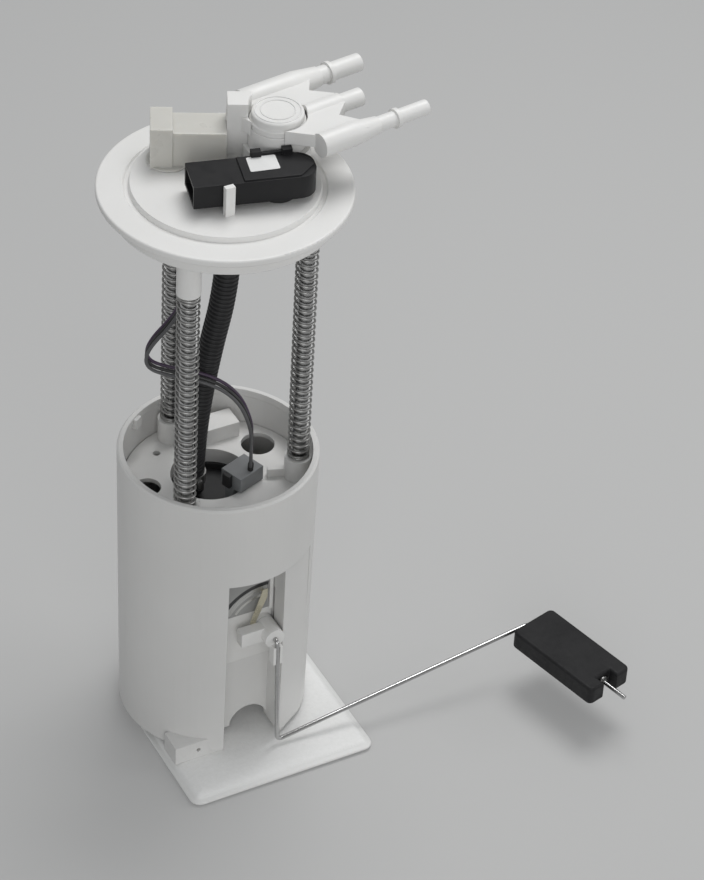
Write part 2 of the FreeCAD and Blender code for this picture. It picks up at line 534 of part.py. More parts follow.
# Two magnet arcs in the case
halves = []
for i, side in enumerate((1, -1)):
    whole = ring("magnet_ring_%d" % i, "case_in", "magnet_in", "armature_long + 2 * magnet_more", "pump_x", "pump_y",
                 "armature_low - magnet_more")
    keep_side = block("magnet_side_%d" % i, "case_rad", "2 * magnet_half", "armature_long + 4 * magnet_more",
                      "pump_x + 2" if side > 0 else "pump_x - case_rad - 2", "pump_y - magnet_half",
                      "armature_low - 2 * magnet_more")
    part = doc.addObject("Part::Common", "magnet_arc_%d" % i)
    part.Base = whole
    part.Tool = keep_side
    halves.append(part)
keep("pump_magnets", join("magnet_pair", *halves))

# Rotor: shaft, wound armature with slots, commutator, and the impeller keyed on the shaft's end
shaft = tube_of("shaft_rod", "shaft_rad", "bush_low + bearing_long - (impeller_low) + slip", "pump_x", "pump_y",
                "impeller_low")
keep("pump_shaft", shaft)
core = ring("armature_core", "armature_rad", "shaft_rad + slip", "armature_long", "pump_x", "pump_y", "armature_low")
slots = []
for i in range(6):
    angle = 60 * i
    slot = block("armature_slot_%d" % i, "(armature_rad)", "armature_slot", "armature_long + 2",
                 "pump_x + (armature_rad) * 0.55 * cos(%d) + armature_slot / 2 * sin(%d)" % (angle, angle),
                 "pump_y + (armature_rad) * 0.55 * sin(%d) - armature_slot / 2 * cos(%d)" % (angle, angle),
                 "armature_low - 1")
    slot.Placement = Placement(slot.Placement.Base, Rotation(Vector(0, 0, 1), angle))
    slots.append(slot)
keep("pump_armature", cut("armature_whole", core, *slots))
keep("pump_commutator", ring("commutator_ring", "commutator_rad", "shaft_rad + slip", "commutator_long",
                             "pump_x", "pump_y", "commutator_low"))
wheel = ring("impeller_disc", "impeller_rad", "shaft_rad + slip", "impeller_thick", "pump_x", "pump_y",
             "impeller_low")
vanes = []
for i in range(24):
    angle = 15 * i
    vane = tube_of("impeller_pocket_%d" % i, "impeller_pocket", "impeller_thick + 2",
                   "pump_x + (impeller_rad) * cos(%d)" % angle, "pump_y + (impeller_rad) * sin(%d)" % angle,
                   "impeller_low - 1")
    vanes.append(vane)
keep("pump_impeller", cut("impeller_whole", wheel, *vanes))

# Two carbon brushes on the commutator, each with its spring against the end cap
brushes, brush_springs = [], []
brush_z = "(commutator_low + commutator_long / 2)"
brush_in = "(commutator_rad + brush_gap)"
for i, side in enumerate((1, -1)):
    start = "pump_x + %s" % brush_in if side > 0 else "pump_x - %s - brush_long" % brush_in
    brushes.append(block("brush_%d" % i, "brush_long", "brush_wide", "brush_wide", start,
                         "pump_y - brush_wide / 2", brush_z + " - brush_wide / 2"))
    start = "pump_x + %s + brush_long" % brush_in if side > 0 else "pump_x - cap_in + plug_gap"
    spring = tube_of("brush_spring_%d" % i, "brush_spring_rad", "cap_in - %s - brush_long - plug_gap" % brush_in,
                     start, "pump_y", brush_z)
    brush_springs.append(lying(spring, *ALONG_X))
keep("pump_brushes", join("brush_pair", *brushes))
keep("pump_brush_springs", join("brush_spring_pair", *brush_springs))

# Outlet check valve: poppet on its seat in the nipple, held down by a light spring
poppet = turned("poppet_body", [
    ("0", "seat_low"), ("poppet_rad - poppet_taper", "seat_low"), ("poppet_rad", "seat_low + poppet_taper"),
    ("poppet_rad", "seat_low + poppet_long"), ("0", "seat_low + poppet_long")], *nipple_at)
keep("check_valve", poppet)
keep("check_valve_spring", ring("poppet_coil", "poppet_rad - 0.1", "poppet_rad - 0.6", "poppet_spring", *nipple_at,
                                "seat_low + poppet_long"))

# Rubber isolator between the case and the retainer's sleeve
keep("pump_isolator", ring("isolator_tube", "case_rad + isolator_thick + slip", "case_rad + slip",
                           "guide_low - sleeve_low - 2 * isolator_short - 2", "pump_x", "pump_y",
                           "sleeve_low + isolator_short"))

# Pump connector: grey plug on the end cap, its head above the ledge, with the two terminals inside
plug = body_of("pump_connector_body")
drawing = sketch(plug, "plug_head_outline", "XY_Plane", "plug_low")
outline(drawing, [("0", "0"), ("plug_long", "0"), ("plug_long", "plug_deep"), ("0", "plug_deep")])
pad(plug, "plug_head", drawing, "plug_high")
drawing = sketch(plug, "plug_neck_outline", "XY_Plane", "cap_top")
outline(drawing, [("neck_x", "neck_y"), ("neck_x + neck_wide", "neck_y"),
                  ("neck_x + neck_wide", "neck_y + neck_deep"), ("neck_x", "neck_y + neck_deep")])
pad(plug, "plug_neck", drawing, "plug_low + 2 - cap_top")
drawing = sketch(plug, "plug_slot_outline", "XY_Plane", "cap_top - 1")
outline(drawing, [("neck_x + plug_wall", "neck_y + plug_wall"),
                  ("neck_x + neck_wide - plug_wall", "neck_y + plug_wall"),
                  ("neck_x + neck_wide - plug_wall", "neck_y + neck_deep - plug_wall"),
                  ("neck_x + plug_wall", "neck_y + neck_deep - plug_wall")])
pocket(plug, "plug_slot", drawing, "plug_hollow + 1", reverse=True)
move(plug, "plug_x", "plug_y")
spin(plug, "plug_angle")
keep("pump_connector", plug)
blades = []
for i, across in enumerate(("neck_x + 2 * plug_wall", "neck_x + neck_wide - 2 * plug_wall - blade_thick")):
    blade = body_of("pump_terminal_%d" % i)
    drawing = sketch(blade, "pump_blade_outline_%d" % i, "XY_Plane", "cap_top")
    back = "neck_y + neck_deep / 2 + pump_blade / 2"
    front = "neck_y + neck_deep / 2 - pump_blade / 2"
    outline(drawing, [(across, front), (across + " + blade_thick", front), (across + " + blade_thick", back),
                      (across, back)])
    pad(blade, "pump_blade_%d" % i, drawing, "blade_long")
    move(blade, "plug_x", "plug_y")
    spin(blade, "plug_angle")
    blades.append(blade)
keep("pump_terminals", join("pump_terminal_pair", *blades))
latch = body_of("plug_latch_body")
drawing = sketch(latch, "latch_outline", "XY_Plane", "plug_low + plug_wall")
latch_front = "plug_deep - latch_back - latch_wide"
outline(drawing, [("-latch_thick", latch_front), ("0", latch_front), ("0", "plug_deep - latch_back"),
                  ("-latch_thick", "plug_deep - latch_back")])
pad(latch, "latch_block", drawing, "plug_high - 1.5 * plug_wall")
move(latch, "plug_x", "plug_y")
spin(latch, "plug_angle")
keep("pump_connector_latch", latch)

# Tank cover: flat rim, shallow groove, raised middle, skirt below, three rod bosses, hose stub, sensor post
cover = body_of("cover_body")
drawing = sketch(cover, "cover_section", "XZ_Plane")
outline(drawing, [("0", "cover_web"), ("skirt_rad - skirt_wall", "cover_web"),
                  ("skirt_rad - skirt_wall", "skirt_low"),
                  ("skirt_rad", "skirt_low"), ("skirt_rad", "cover_low"), ("cover_rad", "cover_low"),
                  ("cover_rad", "cover_top"), ("step_rad", "cover_top"),
                  ("step_rad - groove_slope", "cover_top - groove_deep"),
                  ("plateau_rad + groove_slope", "cover_top - groove_deep"), ("plateau_rad", "plateau_top"),
                  ("0", "plateau_top")])
revolve(cover, "cover_turning", drawing)
drawing = sketch(cover, "boss_outline", "XY_Plane", "boss_low")
circle(drawing, "boss_rad", *rod_place(0))
boss = pad(cover, "rod_boss", drawing, "cover_web - boss_low + 0.5")
doc.recompute()
drawing = sketch(cover, "boss_bore_outline", "XY_Plane", "boss_low")
circle(drawing, "rod_rad + rod_press", *rod_place(0))
bore = pocket(cover, "rod_bore", drawing, "cover_web - boss_low - boss_cap", reverse=True)
doc.recompute()
pattern = cover.newObject("PartDesign::PolarPattern", "rod_bosses")
pattern.Originals = [boss, bore]
pattern.Axis = (cover.Origin.OriginFeatures[2], [""])
pattern.Angle = 360
pattern.Occurrences = 3
cover.Tip = pattern
doc.recompute()
drawing = sketch(cover, "post_outline", "XY_Plane", "plateau_top - 0.5")
outline(drawing, [("post_x", "post_y"), ("post_x + post_wide", "post_y"),
                  ("post_x + post_wide", "post_y + post_thick"), ("post_x", "post_y + post_thick")])
pad(cover, "sensor_post", drawing, "post_top - plateau_top + 0.5")
doc.recompute()
drawing = sketch(cover, "stub_outline", "XY_Plane", "stub_low")
circle(drawing, "nipple_rad", "stub_x", "stub_y")
pad(cover, "hose_stub", drawing, "cover_web - stub_low + 0.5")
doc.recompute()
drawing = sketch(cover, "stub_bore_outline", "XY_Plane", "stub_low - 1")
circle(drawing, "nipple_bore", "stub_x", "stub_y")
pocket(cover, "hose_stub_bore", drawing, "cover_web - stub_low + 1 + web_lift", reverse=True)
doc.recompute()
sensor_port = ("sensor_x + port_in * cos(sensor_angle) - sensor_wide / 2 * sin(sensor_angle)",
               "sensor_y + port_in * sin(sensor_angle) + sensor_wide / 2 * cos(sensor_angle)")
drawing = sketch(cover, "cover_holes", "XY_Plane", "cover_web - 1")
circle(drawing, "sensor_port_rad + port_gap", *sensor_port)
circle(drawing, "vent_way_rad", "vent_x", "vent_y")
pocket(cover, "cover_hole_pair", drawing, "plateau_top - cover_web + 2", reverse=True)
top, low = size("cover_top"), size("cover_low")
wide = size("cover_rad")
rounded(cover, "cover_rim_round", "rim_round",
        lambda edge: (at_height(edge, top) or at_height(edge, low)) and edge.BoundBox.XMax > wide - 0.1)
keep("tank_cover", cover)

# Guide rods: steel tubes pressed into the cover, sliding in the retainer's guides, clipped below them
for title, angle in (("right", 0), ("rear", 120), ("front", 240)):
    rod = ring("rod_%s" % title, "rod_rad", "rod_bore", "cover_web - boss_cap - rod_end - (rod_low)",
               *rod_place(angle),
               "rod_low")
    keep("guide_rod_" + title, rod)
    spring = ring("coil_%s" % title, "spring_out", "spring_out - spring_wire", "boss_low - guide_top",
                  *rod_place(angle), "guide_top")
    keep("spring_" + title, spring)
clips = [ring("rod_clip_%d" % a, "clip_rad", "rod_rad + rod_press", "clip_thick", *rod_place(a),
              "guide_low - clip_gap - clip_thick") for a in ROD_TURNS]
keep("rod_clips", join("clip_set", *clips))

# Fuel hose from the pump's nipple to the cover's stub, with an ear clamp at each end
hose_points = [Vector(size("pump_x") + size("nipple_x"), size("pump_y") + size("nipple_y"), size("hose_low")),
               Vector(size("pump_x") + size("nipple_x"), size("pump_y") + size("nipple_y"), 180),
               Vector(-5.4, 4.6, 234),
               Vector(size("stub_x"), size("stub_y"), 286),
               Vector(size("stub_x"), size("stub_y"), size("hose_top"))]
hose_line, hose_radii = path_wire(hose_points)
print("hose radii", [round(r) for r in hose_radii], "length", round(hose_line.Length, 1))
hose = swept(hose_line, size("hose_rad")).cut(swept(hose_line, size("hose_bore")))
print("hose volume", round(hose.Volume), "section x length",
      round(math.pi * (size("hose_rad") ** 2 - size("hose_bore") ** 2) * hose_line.Length))
keep("fuel_hose", free_shape("fuel_hose_sweep", hose))
clamp_in = "hose_rad + clamp_gap"
clamp_places = (("lower", nipple_at, "hose_low + clamp_wide"),
                ("upper", ("stub_x", "stub_y"), "hose_top - 2 * clamp_wide"))
for title, at, z in clamp_places:
    band = ring("clamp_%s" % title, clamp_in + " + clamp_thick", clamp_in, "clamp_wide", *at, z)
    ear = block("clamp_ear_%s" % title, "clamp_ear", "clamp_ear_out + clamp_gap + clamp_thick / 2", "clamp_wide",
                at[0] + " - clamp_ear / 2", at[1] + " - (%s) - clamp_thick - clamp_ear_out" % clamp_in, z)
    keep("hose_clamp_" + title, join("clamp_whole_%s" % title, band, ear))

# Three leads from the plug under the cover, out in a loop to the left, then down into the pump's connector
lead_route = [Vector(-13.5, -3, 322), Vector(-13.5, -3, 299), Vector(-24, 3.2, 268), Vector(-36.5, 10.6, 248),
              Vector(-36.8, 10.8, 236.5), Vector(-25, 4, 232.5), Vector(-8, -5.8, 229.5), Vector(4.5, -12.6, 219),
              Vector(11.3, -14.3, 200), Vector(14.6, -9, 183), Vector(14.6, -9, 166)]
lead_way = Vector(1.0, 1.73, 1.1)
for i, title in enumerate(("power", "ground", "sender")):
    points = [p + lead_way * (i - 1) for p in lead_route]
    points[0].z = size("hose_top")
    points[-1].z = size("plug_low") + size("plug_high")
    line, radii = path_wire(points)
    print("lead", title, "radii", [round(r, 1) for r in radii], "length", round(line.Length, 1))
    lead = swept(line, size("lead_rad"))
    print("volume", round(lead.Volume, 1), round(math.pi * size("lead_rad") ** 2 * line.Length, 1))
    keep("lead_" + title, free_shape("lead_sweep_%s" % title, lead))
keep("harness_plug", block("harness_plug_block", "harness_long", "harness_wide", "cover_web - hose_top",
                           "harness_x", "harness_y", "hose_top"))

# Ports: a tower and a fan web moulded in one with three tubes that each end in a beaded spigot
parts = []
bores = []
for title, rad in (("supply", "supply_rad"), ("vapour", "vapour_rad"), ("return", "return_rad")):
    start = "supply_root" if title == "supply" else "(pipe_start)"
    reach = "%s_tip - %s" % (title, start)
    pipe = tube_of("%s_pipe" % title, rad, reach, start, title + "_off", "port_z")
    parts.append(lying(pipe, *ALONG_X))
    way = tube_of("%s_way" % title, rad + " - port_wall", reach + " + 2", start + " + 1", title + "_off", "port_z")
    bores.append(lying(way, *ALONG_X))
    if title == "vapour":
        trunk = tube_of("vapour_trunk", rad + " + vapour_step", reach + " - vapour_free", start, "vapour_off", "port_z")
        parts.append(lying(trunk, *ALONG_X))
    else:
        bead = tube_of("%s_bead" % title, rad + " + port_bead", "bead_long", title + "_tip - bead_back",
                       title + "_off", "port_z")
        parts.append(lying(bead, *ALONG_X))
        trunk = tube_of("%s_trunk" % title, rad + " + trunk_more", "web_reach - web_notch - %s" % start, start,
                        title + "_off", "port_z")
        parts.append(lying(trunk, *ALONG_X))
        root = doc.addObject("Part::Cone", "%s_root" % title)
        bind(root, Radius1=rad + " + trunk_more", Radius2=rad + " + trunk_end", Height="root_long")
        move(root, "web_reach - web_notch", title + "_off", "port_z")
        parts.append(lying(root, *ALONG_X))
web = body_of("port_web")
drawing = sketch(web, "web_outline", "XY_Plane", "port_z - web_thick / 2")
outline(drawing, [("supply_root", "supply_off + supply_rad"), ("web_reach", "supply_off + supply_rad"),
                  ("web_reach", "supply_off - supply_rad"), ("web_reach - web_notch", "(supply_off + vapour_off) / 2"),
                  ("web_reach + web_nose", "vapour_off + vapour_rad"),
                  ("web_reach + web_nose", "vapour_off - vapour_rad"),
                  ("web_reach - web_notch", "(return_off + vapour_off) / 2"), ("web_reach", "return_off + return_rad"),
                  ("web_reach", "return_off - return_rad"), ("web_reach - web_back", "return_off - return_rad"),
                  ("supply_root - web_notch", "-web_notch"), ("supply_root - web_side", "supply_off - supply_rad")])
pad(web, "web_plate", drawing, "web_thick")
parts.append(web)
rib = block("port_rib", "web_reach - supply_root - 8", "rib_thick", "port_z - plateau_top", "supply_root",
            "supply_off - 2", "plateau_top")
parts.append(rib)
fan = spin(join("port_fan", *parts), "port_angle")
ways = spin(join("port_ways", *bores), "port_angle")
tower = block("port_tower", "tower_wide", "tower_deep", "tower_top - plateau_top",
              "socket_x + socket_long * cos(socket_angle) - tower_side * sin(socket_angle)",
              "socket_y + socket_long * sin(socket_angle) + tower_side * cos(socket_angle)", "plateau_top")
spin(tower, "socket_angle")
vent_ring = tube_of("port_vent_ring", "vent_rad + ring_wall", "ring_high", "vent_x", "vent_y", "plateau_top")
vent_space = tube_of("vent_space", "vent_rad + slip", "2 * tower_high", "vent_x", "vent_y", "plateau_top - 1")
sensor_space = body_of("sensor_space")
drawing = sketch(sensor_space, "sensor_space_outline", "XY_Plane", "plateau_top - 1")
outline(drawing, [("-1", "-1"), ("sensor_long + 1", "-1"), ("sensor_long + 1", "sensor_wide + 1"),
                  ("-1", "sensor_wide + 1")])
pad(sensor_space, "sensor_space_pad", drawing, "sensor_lift + ear_lift + ear_high + 1.5")
spin(move(sensor_space, "sensor_x", "sensor_y"), "sensor_angle")
socket_space = block("socket_space", "socket_long", "socket_wide + collar_out", "socket_high + vent_rest",
                     "socket_x", "socket_y", "plateau_top")
spin(socket_space, "socket_angle")
keep("port_manifold", cut("manifold_whole", join("manifold_solid", fan, tower, vent_ring), ways, vent_space, sensor_space,
                          socket_space))

# Vent valve: an upside-down cup on the cover with a float that shuts it when fuel rises, and a stepped cap
cup = turned("vent_cup", [
    ("vent_rad - vent_wall", "plateau_top"), ("vent_rad", "plateau_top"), ("vent_rad", "vent_top"),
    ("vent_seat", "vent_top"), ("vent_seat", "vent_top - vent_wall"), ("vent_rad - vent_wall", "vent_top - vent_wall")],
    "vent_x", "vent_y")
keep("vent_valve_housing", cup)
lid = turned("vent_lid", [
    ("0", "vent_top"), ("vent_cap_rad", "vent_top"), ("vent_cap_rad", "vent_top + vent_cap_rim"),
    ("vent_cap_rad - vent_cap_in", "vent_top + vent_cap_rim + vent_cap_in / 2"),
    ("vent_cap_rad - vent_cap_in", "vent_cap_top - vent_cap_round"),
    ("vent_cap_rad - vent_cap_in - vent_cap_round", "vent_cap_top"), ("0", "vent_cap_top")], "vent_x", "vent_y")
keep("vent_valve_cap", lid)
bob = turned("vent_bob", [
    ("0", "vent_float_low"), ("vent_float_rad", "vent_float_low"), ("vent_float_rad", "vent_float_top - vent_nose"),
    ("vent_nose_rad", "vent_float_top - vent_nose"), ("vent_pin_rad", "vent_float_top"), ("0", "vent_float_top")],
    "vent_x", "vent_y")
keep("vent_valve_float", bob)

# Electrical receptacle: natural plastic box with its mouth to the left, collar round the mouth, four blades
socket = body_of("socket_body")
drawing = sketch(socket, "socket_outline", "XY_Plane", "plateau_top")
outline(drawing, [("0", "0"), ("socket_long", "0"), ("socket_long", "socket_wide"), ("0", "socket_wide")])
pad(socket, "socket_box", drawing, "socket_top - plateau_top")
drawing = sketch(socket, "collar_outline", "XY_Plane", "plateau_top")
outline(drawing, [("0", "-collar_out"), ("collar_long", "-collar_out"), ("collar_long", "socket_wide + collar_out"),
                  ("0", "socket_wide + collar_out")])
pad(socket, "socket_collar", drawing, "socket_top - plateau_top + collar_up")
drawing = sketch(socket, "socket_foot_outline", "XY_Plane", "plateau_top")
circle(drawing, "socket_foot_rad", "socket_foot_x", "socket_foot_y")
pad(socket, "socket_foot", drawing, "socket_foot_thick")
doc.recompute()
drawing = sketch(socket, "mouth_outline", "YZ_Plane")
outline(drawing, [("socket_wall", "plateau_top + socket_wall"), ("socket_wide - socket_wall", "plateau_top + socket_wall"),
                  ("socket_wide - socket_wall", "socket_top - socket_wall"), ("socket_wall", "socket_top - socket_wall")])
pocket(socket, "socket_mouth", drawing, "socket_mouth", reverse=True)
spin(move(socket, "socket_x", "socket_y"), "socket_angle")
keep("electrical_receptacle", socket)


keep("receptacle_terminals", blades_in(
    "receptacle_blade", 4, "socket_mouth - socket_blade", "socket_blade",
    "socket_wide / 2 - 1.5 * socket_blade_gap - blade_wide / 2", "socket_blade_gap", "blade_wide",
    "(plateau_top + socket_top) / 2 - blade_thick / 2", "blade_thick", ("socket_x", "socket_y", "socket_angle")))

# Pressure sensor: black moulding with an open connector shroud, rounded far end, two ears and a port below
sensor = body_of("sensor_body_solid")
drawing = sketch(sensor, "sensor_outline", "XY_Plane", "sensor_low")
outline(drawing, [("0", "0"), ("sensor_long", "0"), ("sensor_long", "sensor_wide"), ("0", "sensor_wide")])
pad(sensor, "sensor_block", drawing, "sensor_top - sensor_low")
far = size("sensor_long")
rounded(sensor, "sensor_far_round", "sensor_round", lambda edge: upright(edge) and edge.BoundBox.XMin > far - 0.1)
drawing = sketch(sensor, "sensor_crown_outline", "XY_Plane", "sensor_top - 0.5")
outline(drawing, [("shroud_long", "crown_in"), ("sensor_long - sensor_round", "crown_in"),
                  ("sensor_long - 1", "sensor_round"), ("sensor_long - 1", "sensor_wide - sensor_round"),
                  ("sensor_long - sensor_round", "sensor_wide - crown_in"), ("shroud_long", "sensor_wide - crown_in")])
pad(sensor, "sensor_crown", drawing, "crown_high + 0.5")
for i, along_x in enumerate(("ear_one", "ear_two")):
    drawing = sketch(sensor, "ear_outline_%d" % i, "XY_Plane", "sensor_low + ear_lift")
    outline(drawing, [(along_x, "sensor_wide - ear_deep"), (along_x + " + ear_wide", "sensor_wide - ear_deep"),
                      (along_x + " + ear_wide", "sensor_wide + ear_out"), (along_x, "sensor_wide + ear_out")])
    pad(sensor, "ear_%d" % i, drawing, "ear_high")
drawing = sketch(sensor, "ear_bar_outline", "XY_Plane", "sensor_top + 0.5")
outline(drawing, [("ear_one + 1", "sensor_wide - 3 * ear_out"), ("ear_two + 1", "sensor_wide - 3 * ear_out"),
                  ("ear_two + 1", "sensor_wide - ear_out / 3"), ("ear_one + 1", "sensor_wide - ear_out / 3")])
pad(sensor, "ear_bar", drawing, "bar_high")
doc.recompute()
drawing = sketch(sensor, "port_outline", "XY_Plane", "cover_low")
circle(drawing, "sensor_port_rad", "port_in", "sensor_wide / 2")
pad(sensor, "sensor_port", drawing, "sensor_low - cover_low + 0.5")
doc.recompute()
drawing = sketch(sensor, "shroud_outline", "YZ_Plane")
outline(drawing, [("shroud_wall", "sensor_low + shroud_wall"), ("sensor_wide - shroud_wall", "sensor_low + shroud_wall"),
                  ("sensor_wide - shroud_wall", "sensor_top - shroud_wall"), ("shroud_wall", "sensor_top - shroud_wall")])
pocket(sensor, "shroud_mouth", drawing, "shroud_deep", reverse=True)
spin(move(sensor, "sensor_x", "sensor_y"), "sensor_angle")
keep("pressure_sensor", sensor)
keep("sensor_terminals", blades_in(
    "sensor_blade", 3, "shroud_deep - blade_long", "blade_long",
    "sensor_wide / 2 - sensor_blade_gap - blade_wide / 2", "sensor_blade_gap", "blade_wide",
    "(sensor_low + sensor_top) / 2 - blade_thick / 2", "blade_thick", ("sensor_x", "sensor_y", "sensor_angle")))
keep("sensor_grommet", ring("grommet_ring", "sensor_port_rad + grommet_wall", "sensor_port_rad + slip",
                            "sensor_lift - slip", *sensor_port, "plateau_top"))

# Level sender: housing clipped on the recess's back wall, ceramic card with rivets
housing = body_of("sender_housing_solid")
drawing = sketch(housing, "housing_outline", "XZ_Plane", "recess_back")
plate_left = "-recess_half + sender_side"
plate_right = "recess_half - sender_right"
outline(drawing, [(plate_left, "sender_low"), (plate_right, "sender_low"), (plate_right, "sender_high"),
                  (plate_left, "sender_high")])
pad(housing, "housing_plate", drawing, "sender_thick")
for i, (a, b) in enumerate(((plate_left, plate_left + " + rail_wide"), (plate_right + " - rail_wide", plate_right))):
    drawing = sketch(housing, "rail_outline_%d" % i, "XZ_Plane", "recess_back + sender_thick")
    outline(drawing, [(a, "card_low - 1"), (b, "card_low - 1"), (b, "sender_high"), (a, "sender_high")])
    pad(housing, "rail_%d" % i, drawing, "card_thick + rail_high")
drawing = sketch(housing, "bearing_outline", "XZ_Plane", "recess_back + sender_thick")
circle(drawing, "spigot_rad + bearing_wall", "pivot_x", "pivot_z")
pad(housing, "pivot_bearing", drawing, "bearing_high")
doc.recompute()
drawing = sketch(housing, "bearing_bore_outline", "XZ_Plane", "recess_back + sender_thick + bearing_high")
circle(drawing, "spigot_rad + spigot_run", "pivot_x", "pivot_z")
pocket(housing, "pivot_bore", drawing, "bearing_high + sender_thick + 1")
keep("sender_housing", housing)
card = block("card_plate", "2 * (recess_half - rail_wide - card_gap) - sender_side - sender_right", "card_thick",
             "sender_high - card_low - 0.5", "-recess_half + sender_side + rail_wide + card_gap", "-(card_front)",
             "card_low")
keep("sender_card", card)
rivets = []
for i, across in enumerate(("-rivet_x", "rivet_x")):
    rivet = tube_of("card_rivet_%d" % i, "rivet_rad", "card_thick", across, "-(card_front)",
                    "sender_high - rivet_down")
    rivets.append(lying(rivet, *TO_FRONT))
keep("sender_terminals", join("rivet_pair", *rivets))

# Sender rotor: hub on its spigot, with a lever to the left and a jaw that holds the wire's leg
hub = lying(tube_of("rotor_hub", "hub_rad", "hub_front - (hub_back)", "pivot_x", "-(hub_back)", "pivot_z"), *TO_FRONT)
spigot = lying(tube_of("rotor_spigot", "spigot_rad", "bearing_high + sender_thick", "pivot_x",
                       "-recess_back - hub_gap", "pivot_z"), *TO_FRONT)
lever = block("rotor_lever", "lever_long", "lever_deep", "lever_high", "pivot_x - lever_long",
              "-(hub_back) - lever_in - lever_deep", "pivot_z - lever_high / 2")
jaw = block("rotor_jaw", "jaw_wide", "jaw_front - (jaw_back)", "jaw_low - jaw_high",
            "pivot_x + jaw_side - jaw_wide / 2", "-(jaw_front)", "pivot_z - jaw_low")
wire_hole = lying(tube_of("rotor_wire_hole", "wire_rad + wire_fit", "hub_front - (hub_back) + 1", "pivot_x",
                          "-(hub_back) - 2", "pivot_z"), *TO_FRONT)
leg_slot = tube_of("rotor_leg_slot", "wire_rad + wire_fit", "jaw_low + 2", "pivot_x", "-(wire_plane)", "pivot_z")
lying(leg_slot, Vector(0, 1, 0), 180)
leg_slot.setExpression("Placement.Rotation.Angle",
                       spell("180 deg - atan((elbow_x - pivot_x) / (pivot_z - elbow_z))"))
jaw_mouth = block("rotor_jaw_mouth", "2 * (wire_rad - jaw_nip)", "jaw_front_wall + 1", "jaw_low",
                  "pivot_x + jaw_side - wire_rad + jaw_nip", "-(jaw_front) - 1", "pivot_z - jaw_low - 1")
keep("sender_rotor", cut("rotor_whole", join("rotor_solid", hub, spigot, lever, jaw), wire_hole, leg_slot,
                         jaw_mouth))

# Wiper: sprung metal strip riveted to the lever, its round tip just over the card
strip = body_of("wiper_strip")
drawing = sketch(strip, "wiper_outline", "XZ_Plane", "hub_back + wiper_in")
tip_right = "pivot_x - wiper_tip_x + 1.4"
outline(drawing, [("pivot_x - wiper_left", "pivot_z - 2"), ("pivot_x - wiper_left + wiper_foot", "pivot_z - 2"),
                  ("pivot_x - wiper_left + wiper_foot", "pivot_z + 5"), (tip_right, "pivot_z + wiper_reach - 2"),
                  (tip_right, "pivot_z + wiper_top"), (tip_right + " - 2.8", "pivot_z + wiper_top"),
                  ("pivot_x - wiper_left", "pivot_z + 6")])
pad(strip, "wiper_plate", drawing, "wiper_thick")
tip = lying(tube_of("wiper_tip", "wiper_tip_rad", "hub_back + wiper_in + wiper_thick / 2 - card_front - hub_gap",
                    "pivot_x - wiper_tip_x", "-(card_front) - hub_gap", "pivot_z + wiper_reach"), *TO_FRONT)
keep("wiper_contact", join("wiper_whole", strip, tip))

# Float arm: one bent steel wire, from the hub down, out to the side, then turned in to carry the float
arm_turn = math.radians(size("arm_turn"))
tail_way = Vector(math.cos(arm_turn), math.sin(arm_turn), 0)
plane_y = -size("wire_plane")
arm_end = Vector(size("arm_x"), plane_y, size("arm_z"))
arm_points = [Vector(size("pivot_x"), -size("recess_back") - size("wire_sunk"), size("pivot_z")),
              Vector(size("pivot_x"), plane_y, size("pivot_z")),
              Vector(size("elbow_x"), plane_y, size("elbow_z")), arm_end, arm_end + tail_way * size("arm_tail")]
bend = size("arm_bend")
arm_line, arm_radii = path_wire(arm_points, (size("hub_bend"), bend, bend))
keep("float_arm", free_shape("float_arm_sweep", swept(arm_line, size("wire_rad"))))

# Float: black foamed rubber block with a bore along it and a notch at the far end for the retainer
block_body = body_of("float_block")
drawing = sketch(block_body, "float_outline", "XY_Plane")
far_x = "float_gap + float_long"
outline(drawing, [("float_gap", "-float_wide / 2"), (far_x, "-float_wide / 2"), (far_x, "-notch_wide / 2"),
                  (far_x + " - notch_deep", "-notch_wide / 2"), (far_x + " - notch_deep", "notch_wide / 2"),
                  (far_x, "notch_wide / 2"), (far_x, "float_wide / 2"), ("float_gap", "float_wide / 2")])
pad(block_body, "float_pad", drawing, "float_thick", both=True)
half_wide = size("float_wide") / 2
rounded(block_body, "float_corners", "float_round",
        lambda edge: upright(edge) and abs(abs(edge.BoundBox.YMin) - half_wide) < 0.01)
half_thick = size("float_thick") / 2
rounded(block_body, "float_edges", "float_round / 2",
        lambda edge: at_height(edge, half_thick) or at_height(edge, -half_thick))
doc.recompute()
drawing = sketch(block_body, "float_bore_outline", "YZ_Plane")
circle(drawing, "float_bore")
pocket(block_body, "float_bore_cut", drawing, "float_long + 2 * float_gap", reverse=True)
spin(move(block_body, "arm_x", "-(wire_plane)", "arm_z"), "arm_turn")
keep("float", block_body)
stop = body_of("float_retainer_body")
drawing = sketch(stop, "float_retainer_outline", "YZ_Plane", "float_gap + float_long - notch_deep + stop_gap")
circle(drawing, "stop_rad")
circle(drawing, "wire_rad + wire_fit")
pad(stop, "float_retainer_pad", drawing, "stop_thick")
spin(move(stop, "arm_x", "-(wire_plane)", "arm_z"), "arm_turn")
keep("float_retainer", stop)

doc.recompute()
broken = [thing.Name for thing in doc.Objects if {"Invalid", "Error"} & set(thing.State)]
if broken:
    raise RuntimeError("objects that failed: " + ", ".join(broken))
for name, thing in pieces:
    if thing.Shape.isNull() or not thing.Shape.isValid():
        raise RuntimeError("bad shape: " + name)
    thing.Shape.exportStep("parts/" + name + ".step")
print(len(pieces), "pieces")
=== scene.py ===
import bmesh
import bpy
import json
import math
from mathutils import Matrix, Vector
from mathutils.bvhtree import BVHTree

